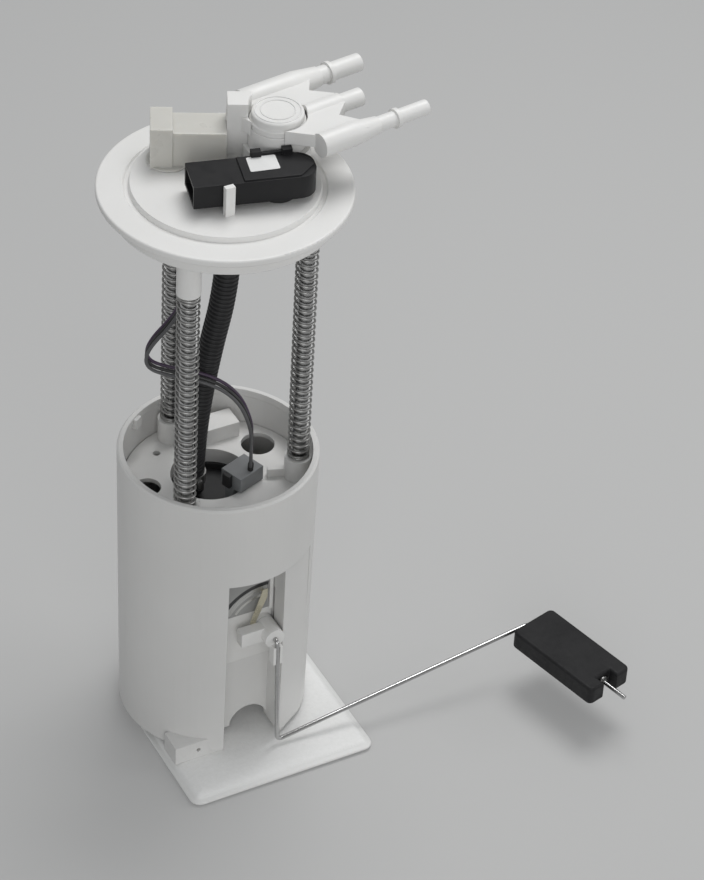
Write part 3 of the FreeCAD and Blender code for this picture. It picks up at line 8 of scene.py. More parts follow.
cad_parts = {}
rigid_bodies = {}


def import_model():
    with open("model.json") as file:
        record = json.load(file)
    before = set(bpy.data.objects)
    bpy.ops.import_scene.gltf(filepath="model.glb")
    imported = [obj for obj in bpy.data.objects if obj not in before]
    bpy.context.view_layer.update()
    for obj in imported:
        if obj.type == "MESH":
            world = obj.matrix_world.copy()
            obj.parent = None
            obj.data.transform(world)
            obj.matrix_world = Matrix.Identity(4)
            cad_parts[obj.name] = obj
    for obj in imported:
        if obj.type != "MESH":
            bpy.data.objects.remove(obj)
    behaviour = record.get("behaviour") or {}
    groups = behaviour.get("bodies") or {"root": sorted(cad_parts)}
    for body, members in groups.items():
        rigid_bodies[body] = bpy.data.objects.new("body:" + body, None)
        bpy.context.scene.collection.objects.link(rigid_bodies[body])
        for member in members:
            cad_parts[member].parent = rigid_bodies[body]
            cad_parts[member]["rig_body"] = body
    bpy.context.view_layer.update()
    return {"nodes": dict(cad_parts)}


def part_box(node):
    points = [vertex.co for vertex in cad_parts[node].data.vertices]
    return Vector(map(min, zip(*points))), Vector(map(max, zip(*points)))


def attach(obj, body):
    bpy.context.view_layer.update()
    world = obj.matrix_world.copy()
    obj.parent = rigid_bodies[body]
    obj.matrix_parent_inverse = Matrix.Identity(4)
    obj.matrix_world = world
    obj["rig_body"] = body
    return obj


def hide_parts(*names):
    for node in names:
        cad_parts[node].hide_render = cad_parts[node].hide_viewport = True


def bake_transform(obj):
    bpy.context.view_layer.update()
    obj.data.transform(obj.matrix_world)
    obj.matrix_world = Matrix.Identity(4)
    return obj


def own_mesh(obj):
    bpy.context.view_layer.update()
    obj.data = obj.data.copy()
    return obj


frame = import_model()
solids = frame["nodes"]
scene = bpy.context.scene
mm = 0.001

# Camera and studio. The module stands on a pale floor that has no edge, seen from above its left
# front with a long lens, as in the photograph. The light is soft and comes from above and behind.
camera_azimuth = math.radians(-30)
camera_elevation = math.radians(39.26)
camera_roll = math.radians(3.47)
camera_distance = 1.69786
camera_target = Vector((0, 0, 0.2))
target_right, target_up = 0.06831, -0.01343
camera_lens = 135
camera_reach = 20


def put_in(name, data):
    """An object with this data, at the origin."""
    piece = bpy.data.objects.new(name, data)
    scene.collection.objects.link(piece)
    return piece


away = Vector((math.sin(camera_azimuth) * math.cos(camera_elevation),
               -math.cos(camera_azimuth) * math.cos(camera_elevation), math.sin(camera_elevation)))
level_right = Vector((math.cos(camera_azimuth), math.sin(camera_azimuth), 0))
level_up = away.cross(level_right)
picture_right = level_right * math.cos(camera_roll) + level_up * math.sin(camera_roll)
picture_up = level_up * math.cos(camera_roll) - level_right * math.sin(camera_roll)
camera = put_in("camera", bpy.data.cameras.new("camera"))
camera.data.lens = camera_lens
camera.data.clip_end = camera_reach
spot = camera_target + picture_right * target_right + picture_up * target_up + away * camera_distance
turned_frame = Matrix((picture_right, picture_up, away)).transposed().to_4x4()
camera.matrix_world = Matrix.Translation(spot) @ turned_frame
scene.camera = camera
scene.view_settings.view_transform = "Standard"


def soft_lamp(name, place, aim, wide, power):
    """A square lamp, by its place, the spot it shines on, its side in metres and its power in watts."""
    lamp = bpy.data.lights.new(name, "AREA")
    lamp.size = wide
    lamp.energy = power
    piece = put_in(name, lamp)
    piece.location = place
    piece.rotation_euler = (Vector(place) - Vector(aim)).to_track_quat("Z", "Y").to_euler()


soft_lamp("overhead", (0.42, 0.32, 1.5), (0.03, -0.02, 0.1), 0.7, 10)
soft_lamp("front_fill", (-0.7, -1.7, 0.75), (0, 0, 0.15), 1.2, 9)
soft_lamp("side_fill", (1.5, -0.7, 0.6), (0, 0, 0.2), 0.8, 4)


def new_finish(name, colour, rough, **settings):
    """A material and its shader. What is the same all over the surface is set on the shader itself."""
    material = bpy.data.materials.new(name)
    material.use_nodes = True
    shader = material.node_tree.nodes["Principled BSDF"]
    shader.inputs["Base Color"].default_value = (*colour, 1)
    shader.inputs["Roughness"].default_value = rough
    for socket, value in settings.items():
        shader.inputs[socket.replace("_", " ")].default_value = value
    return material


def add_node(tree, kind, links=None, **settings):
    """A shader node with its plain settings, and the links that go into it, by socket."""
    node = tree.nodes.new(kind)
    for key, value in settings.items():
        if hasattr(node, key):
            setattr(node, key, value)
        else:
            node.inputs[key.replace("_", " ")].default_value = value
    for socket, source in (links or {}).items():
        tree.links.new(source, node.inputs[socket])
    return node


def seeing_ray(tree):
    """One for a ray from the camera, or that metal or glass sends on. Nought for a ray that lights."""
    ray = add_node(tree, "ShaderNodeLightPath").outputs
    sent = add_node(tree, "ShaderNodeMath", {0: ray["Is Camera Ray"], 1: ray["Is Transmission Ray"]},
                    operation="MAXIMUM")
    return add_node(tree, "ShaderNodeMath", {0: sent.outputs["Value"], 1: ray["Is Glossy Ray"]},
                    operation="MAXIMUM").outputs["Value"]


# What the camera sees behind the object is a plain pale tone, and what lights it is a soft even sky.
sky_tone = (0.92, 0.94, 0.96)
sky_light = 0.40
seen_tone = (0.27, 0.27, 0.27)
world = bpy.data.worlds.new("studio")
world.use_nodes = True
sky = world.node_tree
sky_lit = sky.nodes["Background"]
sky_lit.inputs["Color"].default_value = (*sky_tone, 1)
sky_lit.inputs["Strength"].default_value = sky_light
sky_seen = add_node(sky, "ShaderNodeBackground", Color=(*seen_tone, 1), Strength=1.0)
sky_pick = add_node(sky, "ShaderNodeMixShader", {0: seeing_ray(sky), 1: sky_lit.outputs["Background"],
                                                 2: sky_seen.outputs["Background"]})
sky.links.new(sky_pick.outputs["Shader"], sky.nodes["World Output"].inputs["Surface"])
scene.world = world

floor_half = 6
floor_tone = (0.43, 0.43, 0.425)
floor_lift = 0.10
floor_drop = 0.0003
floor_mesh = bpy.data.meshes.new("floor")
floor_mesh.from_pydata([(-floor_half, -floor_half, 0), (floor_half, -floor_half, 0),
                        (floor_half, floor_half, 0), (-floor_half, floor_half, 0)], [], [(0, 1, 2, 3)])
floor = put_in("floor", floor_mesh)
floor.location.z = -floor_drop
floor_paper = new_finish("floor_paper", floor_tone, 0.9)
ground = floor_paper.node_tree
glow = add_node(ground, "ShaderNodeEmission", {"Strength": seeing_ray(ground)},
                Color=(floor_lift, floor_lift, floor_lift, 1))
both = add_node(ground, "ShaderNodeAddShader", {0: ground.nodes["Principled BSDF"].outputs["BSDF"],
                                                1: glow.outputs["Emission"]})
ground.links.new(both.outputs["Shader"], ground.nodes["Material Output"].inputs["Surface"])
floor_mesh.materials.append(floor_paper)

# Reservoir. A deep tub injection moulded in white acetal, with a thick lip. It stands on the tank's
# floor round the pump and keeps some fuel there. The mould's core left fine upright draw marks on it.
tub_tone = (0.73, 0.725, 0.71)
tub_shade = (0.66, 0.655, 0.64)
even_spread = (1, 0.95, 0.88)
scuff_rough = 0.14
scuff_sink = 0.6
# A Mix node's two colour inputs and its colour output
mix_low, mix_high, mix_out = 6, 7, 2
same_spot = 0.002 * mm
flat_angle = math.radians(0.6)


def between(tone, shade, share):
    return tuple(a + (b - a) * share for a, b in zip(tone, shade))


def feed(material, socket, source):
    material.node_tree.links.new(source, material.node_tree.nodes["Principled BSDF"].inputs[socket])


def colour_between(tree, share, low, high):
    """The colour at a share of the way between two. Each of the two is a tone or a node's output."""
    mix = add_node(tree, "ShaderNodeMix", {"Factor": share}, data_type="RGBA")
    for socket, colour in ((mix.inputs[mix_low], low), (mix.inputs[mix_high], high)):
        if hasattr(colour, "is_linked"):
            tree.links.new(colour, socket)
        else:
            socket.default_value = (*colour, 1)
    return mix.outputs[mix_out]


def moulded(material, tone, shade, patch=14, grain=900, deep=0.02, gloss=(0.34, 0.46), pull=(1, 1, 1),
            scuff=0.5, soften=0.3):
    """A moulded skin: soft patches of colour and finer ones of gloss, handling marks, a grain and
    softened edges. The pull stretches the marks along the way that the piece left its mould. Depth
    and edges are in millimetres."""
    tree = material.node_tree
    place = add_node(tree, "ShaderNodeTexCoord").outputs["Object"]
    pulled = add_node(tree, "ShaderNodeMapping", {"Vector": place}, Scale=pull).outputs["Vector"]
    patches = add_node(tree, "ShaderNodeTexNoise", {"Vector": place}, Scale=patch, Detail=4, Roughness=0.55)
    spread = add_node(tree, "ShaderNodeMapRange", {"Value": patches.outputs["Fac"]},
                      From_Min=0.35, From_Max=0.65)
    marks = add_node(tree, "ShaderNodeTexNoise", {"Vector": pulled}, Scale=patch * 16, Detail=6,
                     Roughness=0.68, Distortion=1.2)
    worn = add_node(tree, "ShaderNodeMapRange", {"Value": marks.outputs["Fac"]}, From_Min=0.58, From_Max=0.74,
                    To_Max=scuff)
    both = add_node(tree, "ShaderNodeMath", {0: spread.outputs["Result"], 1: worn.outputs["Result"]},
                    operation="SUBTRACT", use_clamp=True)
    feed(material, "Base Color", colour_between(tree, both.outputs["Value"], shade, tone))
    smears = add_node(tree, "ShaderNodeTexNoise", {"Vector": pulled}, Scale=patch * 6, Detail=5,
                      Roughness=0.6)
    shine = add_node(tree, "ShaderNodeMapRange", {"Value": smears.outputs["Fac"]}, From_Min=0.3, From_Max=0.7,
                     To_Min=gloss[0], To_Max=gloss[1])
    rough = add_node(tree, "ShaderNodeMath", {0: worn.outputs["Result"], 2: shine.outputs["Result"]},
                     operation="MULTIPLY_ADD")
    rough.inputs[1].default_value = scuff_rough
    feed(material, "Roughness", rough.outputs["Value"])
    fine = add_node(tree, "ShaderNodeTexNoise", {"Vector": pulled}, Scale=grain, Detail=3)
    height = add_node(tree, "ShaderNodeMath", {0: worn.outputs["Result"], 2: fine.outputs["Fac"]},
                      operation="MULTIPLY_ADD")
    height.inputs[1].default_value = -scuff_sink
    rounded = add_node(tree, "ShaderNodeBevel", samples=6, Radius=soften * mm)
    bump = add_node(tree, "ShaderNodeBump", {"Height": height.outputs["Value"],
                                             "Normal": rounded.outputs["Normal"]},
                    Strength=1.0, Distance=deep * mm)
    feed(material, "Normal", bump.outputs["Normal"])
    return material


def dressed(node, material, edge=0.2, sharp=32):
    """A solid's own shape with its small edge rounds, shown in the solid's place. The edge is in
    millimetres, and what counts as sharp is in degrees."""
    mesh = solids[node].data.copy()
    mesh.name = node + "_skin"
    work = bmesh.new()
    work.from_mesh(mesh)
    bmesh.ops.remove_doubles(work, verts=work.verts, dist=same_spot)
    bmesh.ops.dissolve_limit(work, angle_limit=flat_angle, verts=work.verts, edges=work.edges,
                             delimit={"NORMAL"})
    work.to_mesh(mesh)
    work.free()
    mesh.materials.clear()
    mesh.materials.append(material)
    if "custom_normal" in mesh.attributes:
        mesh.attributes.remove(mesh.attributes["custom_normal"])
    mesh.polygons.foreach_set("use_smooth", [True] * len(mesh.polygons))
    mesh.set_sharp_from_angle(angle=math.radians(sharp))
    piece = put_in(node + "_piece", mesh)
    if edge:
        bevel = piece.modifiers.new("edges", "BEVEL")
        bevel.width = edge * mm
        bevel.segments = 2
        bevel.limit_method = "ANGLE"
        bevel.angle_limit = math.radians(sharp)
        bevel.use_clamp_overlap = False
    even = piece.modifiers.new("shading", "WEIGHTED_NORMAL")
    even.keep_sharp = True
    even.weight = 100
    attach(piece, solids[node]["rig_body"])
    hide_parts(node)
    return piece


tub_plastic = new_finish("reservoir_acetal", tub_tone, 0.42, IOR=1.48, Subsurface_Weight=0.12,
                         Subsurface_Scale=0.002, Subsurface_Radius=even_spread)
moulded(tub_plastic, tub_tone, between(tub_tone, tub_shade, 0.5), patch=9, grain=620, deep=0.025,
        pull=(1, 1, 0.12), soften=0.5)
dressed("reservoir", tub_plastic, edge=0)

# Floor valve. A rubber umbrella in the tub's floor that lets fuel in while the tank is full, and
# closes when the level outside falls.
rubber_tone = (0.022, 0.022, 0.022)
rubber_shade = (0.036, 0.036, 0.036)
rubber = new_finish("black_rubber", rubber_tone, 0.6, Specular_IOR_Level=0.35)
moulded(rubber, rubber_tone, rubber_shade, grain=1200, gloss=(0.5, 0.7))
dressed("floor_valve", rubber)

# Strainer. Two layers of heat-bonded nylon felt over a plastic mesh, welded together round the edge,
# with a moulded neck on top that pushes onto the pump's inlet.
felt_tone = (0.88, 0.88, 0.87)
felt_shade = (0.82, 0.82, 0.805)
weld_tone = (0.78, 0.78, 0.765)
weld_wide = 2.4
weld_high = 2.5
pad_corner = 6
least_corner = 0.4 * mm
bond_spacing = 1.7
acetal_tone = (0.80, 0.795, 0.78)
acetal_shade = (0.73, 0.725, 0.705)
acetal = new_finish("white_acetal", acetal_tone, 0.4, IOR=1.48, Subsurface_Weight=0.12,
                    Subsurface_Scale=0.002, Subsurface_Radius=even_spread)
moulded(acetal, acetal_tone, between(acetal_tone, acetal_shade, 0.5), soften=0.35)
dressed("strainer_neck", acetal)

felt = new_finish("strainer_felt", felt_tone, 0.85, Sheen_Weight=0.25)
weave = felt.node_tree
place = add_node(weave, "ShaderNodeTexCoord").outputs["Object"]
welded = add_node(weave, "ShaderNodeAttribute", attribute_name="welded").outputs["Fac"]
hairs = add_node(weave, "ShaderNodeTexNoise", {"Vector": place}, Scale=1500, Detail=5,
                 Roughness=0.75, Distortion=2.5)
clumps = add_node(weave, "ShaderNodeTexNoise", {"Vector": place}, Scale=420, Detail=5, Roughness=0.6)
bonds = add_node(weave, "ShaderNodeTexVoronoi", {"Vector": place},
                 Scale=1 / (bond_spacing * mm), Randomness=0.25)
pressed = add_node(weave, "ShaderNodeMapRange", {"Value": bonds.outputs["Distance"]},
                   From_Min=0.16, From_Max=0.34)
mixed = add_node(weave, "ShaderNodeMath", {0: hairs.outputs["Fac"], 1: clumps.outputs["Fac"]},
                 operation="MULTIPLY")
tuft = add_node(weave, "ShaderNodeMapRange", {"Value": mixed.outputs["Value"]},
                From_Min=0.12, From_Max=0.36)
soft = colour_between(weave, tuft.outputs["Result"], felt_shade, felt_tone)
feed(felt, "Base Color", colour_between(weave, welded, soft, weld_tone))
dull = add_node(weave, "ShaderNodeMapRange", {"Value": welded}, To_Min=0.88, To_Max=0.45)
feed(felt, "Roughness", dull.outputs["Result"])
lofty = add_node(weave, "ShaderNodeMath", {0: pressed.outputs["Result"], 1: mixed.outputs["Value"]},
                 operation="ADD")
relief = add_node(weave, "ShaderNodeBump", {"Height": lofty.outputs["Value"]}, Strength=0.8,
                  Distance=0.07 * mm)
feed(felt, "Normal", relief.outputs["Normal"])


def rounded_ring(low, high, inset, corner, steps=9):
    """The points of a rectangle with round corners, set in from its edge. All in metres."""
    radius = max(corner - inset, least_corner)
    ring = []
    for turn, x, y in ((180, low.x, low.y), (270, high.x, low.y), (0, high.x, high.y), (90, low.x, high.y)):
        middle_x = x + (inset + radius) * (1 if x == low.x else -1)
        middle_y = y + (inset + radius) * (1 if y == low.y else -1)
        for step in range(steps):
            angle = math.radians(turn + 90 * step / (steps - 1))
            ring.append((middle_x + radius * math.cos(angle), middle_y + radius * math.sin(angle)))
    return ring


pad_low, pad_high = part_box("strainer_pad")
pad_top = (pad_high.z - pad_low.z) / mm
bead = weld_wide + 0.6
# Each ring up the pad: how far it is set in, its height, and how far the weld has melted it
rounds = [(3.2, 0.0, 0), (2.2, 0.05, 0.4), (0.7, 0.8, 1), (0.15, 1.2, 1), (0.0, 1.6, 1),
          (0.15, 2.1, 1), (0.6, weld_high, 1), (weld_wide, weld_high, 1),
          (bead, weld_high + 0.5, 0.7), (bead + 0.7, 3.7, 0.3),
          (bead + 2.0, pad_top - 0.5, 0), (bead + 4.2, pad_top - 0.1, 0), (bead + 8.5, pad_top, 0)]
work = bmesh.new()
welding = work.verts.layers.float.new("welded")
rings = []
for inset, height, melt in rounds:
    ring = [work.verts.new((x, y, pad_low.z + height * mm))
            for x, y in rounded_ring(pad_low, pad_high, inset * mm, pad_corner * mm)]
    for point in ring:
        point[welding] = melt
    rings.append(ring)
for lower, upper in zip(rings, rings[1:]):
    for step in range(len(lower)):
        after = (step + 1) % len(lower)
        work.faces.new((lower[step], lower[after], upper[after], upper[step]))
work.faces.new(rings[-1])
work.faces.new(reversed(rings[0]))
pad_mesh = bpy.data.meshes.new("strainer_bag")
work.to_mesh(pad_mesh)
work.free()
pad_mesh.polygons.foreach_set("use_smooth", [True] * len(pad_mesh.polygons))
pad_mesh.materials.append(felt)
strainer_bag = put_in("strainer_bag", pad_mesh)
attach(strainer_bag, "reservoir")
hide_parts("strainer_pad")

# Pump, lower end. A die-cast aluminium inlet cover and bearing plate with sintered bushes, and between
# them the impeller, moulded in glass-filled nylon, that throws the fuel upward.
cast_tone = (0.64, 0.64, 0.65)
bronze_tone = (0.62, 0.42, 0.22)
nylon_tone = (0.022, 0.022, 0.023)
nylon_shade = (0.038, 0.038, 0.039)


def drawn(name, tone, rough, along=(1, 1, 0.02), streak=0.25, deep=0.004, dark=0.22):
    """Bare metal with fine draw lines that run along one axis, and small dull patches. Their depth
    is in millimetres."""
    material = new_finish(name, tone, rough, Metallic=1)
    tree = material.node_tree
    place = add_node(tree, "ShaderNodeTexCoord").outputs["Object"]
    stretch = add_node(tree, "ShaderNodeMapping", {"Vector": place}, Scale=along)
    lines = add_node(tree, "ShaderNodeTexNoise", {"Vector": stretch.outputs["Vector"]}, Scale=2200, Detail=3)
    dull = add_node(tree, "ShaderNodeTexNoise", {"Vector": place}, Scale=90, Detail=5)
    both = add_node(tree, "ShaderNodeMath", {0: lines.outputs["Fac"], 1: dull.outputs["Fac"]},
                    operation="ADD")
    shine = add_node(tree, "ShaderNodeMapRange", {"Value": both.outputs["Value"]}, From_Min=0.7, From_Max=1.3,
                     To_Min=rough * (1 - streak), To_Max=rough * (1 + streak))
    feed(material, "Roughness", shine.outputs["Result"])
    dark_tone = between(tone, (0, 0, 0), dark)
    feed(material, "Base Color", colour_between(tree, dull.outputs["Fac"], dark_tone, tone))
    bump = add_node(tree, "ShaderNodeBump", {"Height": lines.outputs["Fac"]}, Strength=0.6,
                    Distance=deep * mm)
    feed(material, "Normal", bump.outputs["Normal"])
    return material


cast_metal = drawn("cast_aluminium", cast_tone, 0.42, along=(1, 1, 1), deep=0.02)
for node in ("pump_inlet_cover", "pump_bearing_plate"):
    dressed(node, cast_metal, edge=0.25)
bronze_metal = drawn("bronze", bronze_tone, 0.35)
dressed("pump_bearings", bronze_metal, edge=0.1)
black_nylon = new_finish("black_nylon", nylon_tone, 0.5, Specular_IOR_Level=0.35)
moulded(black_nylon, nylon_tone, nylon_shade, grain=1300, deep=0.03, gloss=(0.40, 0.58))
dressed("pump_impeller", black_nylon, edge=0.1)

# Pump, motor. A ferrite magnet shell, the wound armature on its ground steel shaft with a copper
# commutator, and two carbon brushes that small springs press on it.
case_tone = (0.60, 0.60, 0.59)
copper_tone = (0.60, 0.30, 0.16)
ferrite_tone = (0.05, 0.05, 0.052)
carbon_tone = (0.03, 0.03, 0.03)
spring_tone = (0.52, 0.52, 0.51)
spiral_steps = 20
wire_sides = 10
closed_pitch = 2.1
ferrite = new_finish("magnet_ferrite", ferrite_tone, 0.55)
moulded(ferrite, ferrite_tone, (0.07, 0.07, 0.07))
dressed("pump_magnets", ferrite, edge=0.2)
case_metal = drawn("pump_steel", case_tone, 0.3)
dressed("pump_shaft", case_metal, edge=0.2)
dressed("pump_armature", drawn("winding_copper", copper_tone, 0.34), edge=0.2)
dressed("pump_commutator", bronze_metal, edge=0.1)
carbon = new_finish("brush_carbon", carbon_tone, 0.6)
moulded(carbon, carbon_tone, (0.05, 0.05, 0.05), soften=0.15)
dressed("pump_brushes", carbon, edge=0.2)
wire_metal = drawn("spring_steel", spring_tone, 0.34, along=(1, 1, 1), streak=0.3, dark=0.3)


def new_tree(name, numbers, count=None, line=False):
    """An empty geometry tree with named inputs, and the node that gives them."""
    tree = bpy.data.node_groups.new(name, "GeometryNodeTree")
    face = tree.interface
    if line:
        face.new_socket(name="Geometry", in_out="INPUT", socket_type="NodeSocketGeometry")
    for number in numbers:
        face.new_socket(name=number, in_out="INPUT", socket_type="NodeSocketFloat")
    if count:
        face.new_socket(name=count, in_out="INPUT", socket_type="NodeSocketInt")
    face.new_socket(name="Geometry", in_out="OUTPUT", socket_type="NodeSocketGeometry")
    return tree, tree.nodes.new("NodeGroupInput")


def arithmetic(tree):
    """A function that adds one step of arithmetic to a tree. It takes numbers or sockets."""
    def sum_of(operation, *values):
        node = tree.nodes.new("ShaderNodeMath")
        node.operation = operation
        for socket, value in zip(node.inputs, values):
            if hasattr(value, "is_linked"):
                tree.links.new(value, socket)
            else:
                socket.default_value = value
        return node.outputs["Value"]
    return sum_of


def end_tree(tree, shape, material, smooth=True):
    """The last nodes of a tree, which make its shape a plain mesh with its material."""
    kinds = ["GeometryNodeRealizeInstances", "GeometryNodeSetMaterial", "NodeGroupOutput"]
    if smooth:
        kinds.insert(0, "GeometryNodeSetShadeSmooth")
    for kind in kinds:
        node = tree.nodes.new(kind)
        tree.links.new(shape, node.inputs["Geometry"])
        if kind == "GeometryNodeSetMaterial":
            node.inputs["Material"].default_value = material
        if kind != "NodeGroupOutput":
            shape = node.outputs["Geometry"]


def coil_tree(material):
    """A wound wire that rises evenly, with its first and last turns closed up on each other."""
    tree, given = new_tree("wound_coil", ("Coil Radius", "Coil Height", "Turns", "Closed Turns",
                                          "Wire Radius"))
    make, link, sum_of = tree.nodes.new, tree.links.new, arithmetic(tree)
    spiral = make("GeometryNodeCurveSpiral")
    spiral.inputs["Resolution"].default_value = spiral_steps
    spiral.inputs["Reverse"].default_value = False
    for socket in ("Start Radius", "End Radius"):
        link(given.outputs["Coil Radius"], spiral.inputs[socket])
    link(given.outputs["Turns"], spiral.inputs["Rotations"])
    along = make("GeometryNodeSplineParameter").outputs["Factor"]
    closed = sum_of("DIVIDE", given.outputs["Closed Turns"], given.outputs["Turns"])
    opened = sum_of("SUBTRACT", 1.0, closed)
    wire = sum_of("MULTIPLY", given.outputs["Wire Radius"], closed_pitch)
    closed_rise = sum_of("MULTIPLY", wire, given.outputs["Closed Turns"])
    open_rise = sum_of("SUBTRACT", given.outputs["Coil Height"], sum_of("MULTIPLY", closed_rise, 2.0))
    height = 0.0
    for start, end, rise in ((0.0, closed, closed_rise), (closed, opened, open_rise),
                             (opened, 1.0, closed_rise)):
        share = sum_of("DIVIDE", sum_of("SUBTRACT", along, start), sum_of("SUBTRACT", end, start))
        share = sum_of("MINIMUM", sum_of("MAXIMUM", share, 0.0), 1.0)
        height = sum_of("ADD", sum_of("MULTIPLY", share, rise), height)
    here, parts = make("GeometryNodeInputPosition"), make("ShaderNodeSeparateXYZ")
    place = make("ShaderNodeCombineXYZ")
    link(here.outputs["Position"], parts.inputs["Vector"])
    link(parts.outputs["X"], place.inputs["X"])
    link(parts.outputs["Y"], place.inputs["Y"])
    link(height, place.inputs["Z"])
    moved = make("GeometryNodeSetPosition")
    link(spiral.outputs["Curve"], moved.inputs["Geometry"])
    link(place.outputs["Vector"], moved.inputs["Position"])
    section = make("GeometryNodeCurvePrimitiveCircle")
    section.inputs["Resolution"].default_value = wire_sides
    link(given.outputs["Wire Radius"], section.inputs["Radius"])
    tube = make("GeometryNodeCurveToMesh")
    tube.inputs["Fill Caps"].default_value = True
    link(moved.outputs["Geometry"], tube.inputs["Curve"])
    link(section.outputs["Curve"], tube.inputs["Profile Curve"])
    end_tree(tree, tube.outputs["Mesh"], material)
    return tree


def grown(name, tree, values, source=None):
    """The plain mesh that a tree makes with these values for its named inputs."""
    holder = put_in(name + "_maker", source or bpy.data.meshes.new(name))
    modifier = holder.modifiers.new("maker", "NODES")
    modifier.node_group = tree
    sockets = {item.name: item.identifier for item in tree.interface.items_tree
               if item.in_out == "INPUT"}
    for key, value in values.items():
        modifier[sockets[key]] = value
    holder.update_tag()
    bpy.context.view_layer.update()
    graph = bpy.context.evaluated_depsgraph_get()
    mesh = bpy.data.meshes.new_from_object(holder.evaluated_get(graph))
    bpy.data.objects.remove(holder)
    mesh.name = name
    return put_in(name, mesh)


wound = coil_tree(wire_metal)


def coil(name, radius, tall, turns, wire, closed=1.5):
    """A spring that stands on the origin, by its outer radius and its height. Sizes are in metres."""
    made = grown(name, wound,
                 {"Coil Radius": radius - wire / 2, "Coil Height": tall - wire, "Turns": float(turns),
                  "Closed Turns": float(closed), "Wire Radius": wire / 2})
    made.data.transform(Matrix.Translation((0, 0, wire / 2)))
    return made


brush_turns = 4
brush_wire = 0.32 * mm
low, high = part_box("pump_brush_springs")
brush_low, brush_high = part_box("pump_brushes")
brush_coils = []
for start, end in ((low.x, brush_low.x), (brush_high.x, high.x)):
    brush_coil = coil("brush_coil", (high.z - low.z) / 2, end - start, brush_turns, brush_wire, closed=1)
    brush_coil.data.transform(Matrix.Translation((start, (low.y + high.y) / 2, (low.z + high.z) / 2))
                              @ Matrix.Rotation(math.radians(90), 4, "Y"))
    brush_coils.append(brush_coil)
for side, brush_coil in zip(("left", "right"), brush_coils):
    brush_coil.name = "brush_coil_" + side
    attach(brush_coil, "reservoir")
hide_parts("pump_brush_springs")

# Pump, case and upper end. A drawn and zinc-plated steel case rolled over both ends, and a nylon end
# cap with the outlet nipple, its check valve and spring, and the two power terminals.
tin_tone = (0.70, 0.66, 0.52)
valve_turns = 7
valve_wire = 0.45 * mm
dressed("pump_case", case_metal, edge=0.2)
dressed("pump_end_cap", black_nylon)
dressed("check_valve", acetal, edge=0.2)
tin_metal = drawn("tinned_brass", tin_tone, 0.25, along=(1, 1, 1))
dressed("pump_terminals", tin_metal, edge=0.08)
low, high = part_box("check_valve_spring")
middle = (low + high) / 2
valve_coil = coil("check_valve_coil", (high.x - low.x) / 2, high.z - low.z, valve_turns, valve_wire)
valve_coil.data.transform(Matrix.Translation((middle.x, middle.y, low.z)))
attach(valve_coil, "reservoir")
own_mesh(valve_coil)
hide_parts("check_valve_spring")

# Isolator and retainer. A rubber sleeve keeps the pump's hum out of the plastic. The white moulding
# that holds both snaps into the tub's mouth, with a guide tube for each rod and windows for the fuel.
dressed("pump_isolator", rubber)
dressed("pump_retainer", acetal, edge=0)

# Pump connector. A grey nylon plug on the end cap, with a separate black lock, and a rubber seal
# round each wire where it goes in.
plug_tone = (0.27, 0.28, 0.29)
plug_shade = (0.20, 0.205, 0.21)
seal_steps = 24
ring_sharp = math.radians(40)
grey_nylon = new_finish("grey_nylon", plug_tone, 0.45, IOR=1.5)
moulded(grey_nylon, plug_tone, plug_shade, grain=1200, patch=40, soften=0.5)
dressed("pump_connector", grey_nylon)
dressed("pump_connector_latch", black_nylon)


def turned(name, outlines, centre, material, steps=48):
    """Rings turned round an upright axis, each from a closed outline of radius and height. All in
    millimetres."""
    work = bmesh.new()
    for outline in outlines:
        rings = []
        for radius, height in outline:
            around = [math.tau * step / steps for step in range(steps)]
            rings.append([work.verts.new((Vector(centre) + Vector((
                radius * math.cos(angle), radius * math.sin(angle), height))) * mm) for angle in around])
        for one, two in zip(rings, rings[1:] + rings[:1]):
            for step in range(steps):
                after = (step + 1) % steps
                work.faces.new((one[step], one[after], two[after], two[step]))
    bmesh.ops.recalc_face_normals(work, faces=work.faces)
    mesh = bpy.data.meshes.new(name)
    work.to_mesh(mesh)
    work.free()
    mesh.materials.append(material)
    mesh.polygons.foreach_set("use_smooth", [True] * len(mesh.polygons))
    mesh.set_sharp_from_angle(angle=ring_sharp)
    return put_in(name, mesh)


lead_step = Vector((1.0, 1.73, 1.1))
lead_end = Vector((14.6, -9, 166))
seal_outline = [(0.9, 0), (1.5, 0), (1.5, 0.9), (1.25, 1.3), (1.25, 1.7), (1.05, 2.0), (0.9, 2.0)]
for number in range(3):
    centre = lead_end + lead_step * (number - 1)
    seal = turned("wire_seal_%d" % number, [seal_outline], (centre.x, centre.y, lead_end.z), rubber,
                  seal_steps)
    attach(seal, "reservoir")

# Level sender, fixed part. An acetal frame in the tub's recess holds a ceramic card. Resistor ink is
# printed on it in an arc round the pivot, with a comb of silver bars that the wiper runs over.
card_tone = (0.36, 0.36, 0.35)
silver_tone = (0.86, 0.86, 0.84)
ink_tone = (0.03, 0.03, 0.032)
pivot_x, pivot_z = 10.5, 81.5
bar_count = 42
bar_reach = 24.0
bar_long = 3.8
bar_wide = 0.34
print_high = 0.05
comb_start, comb_sweep = 86, 64
arc_steps = 96
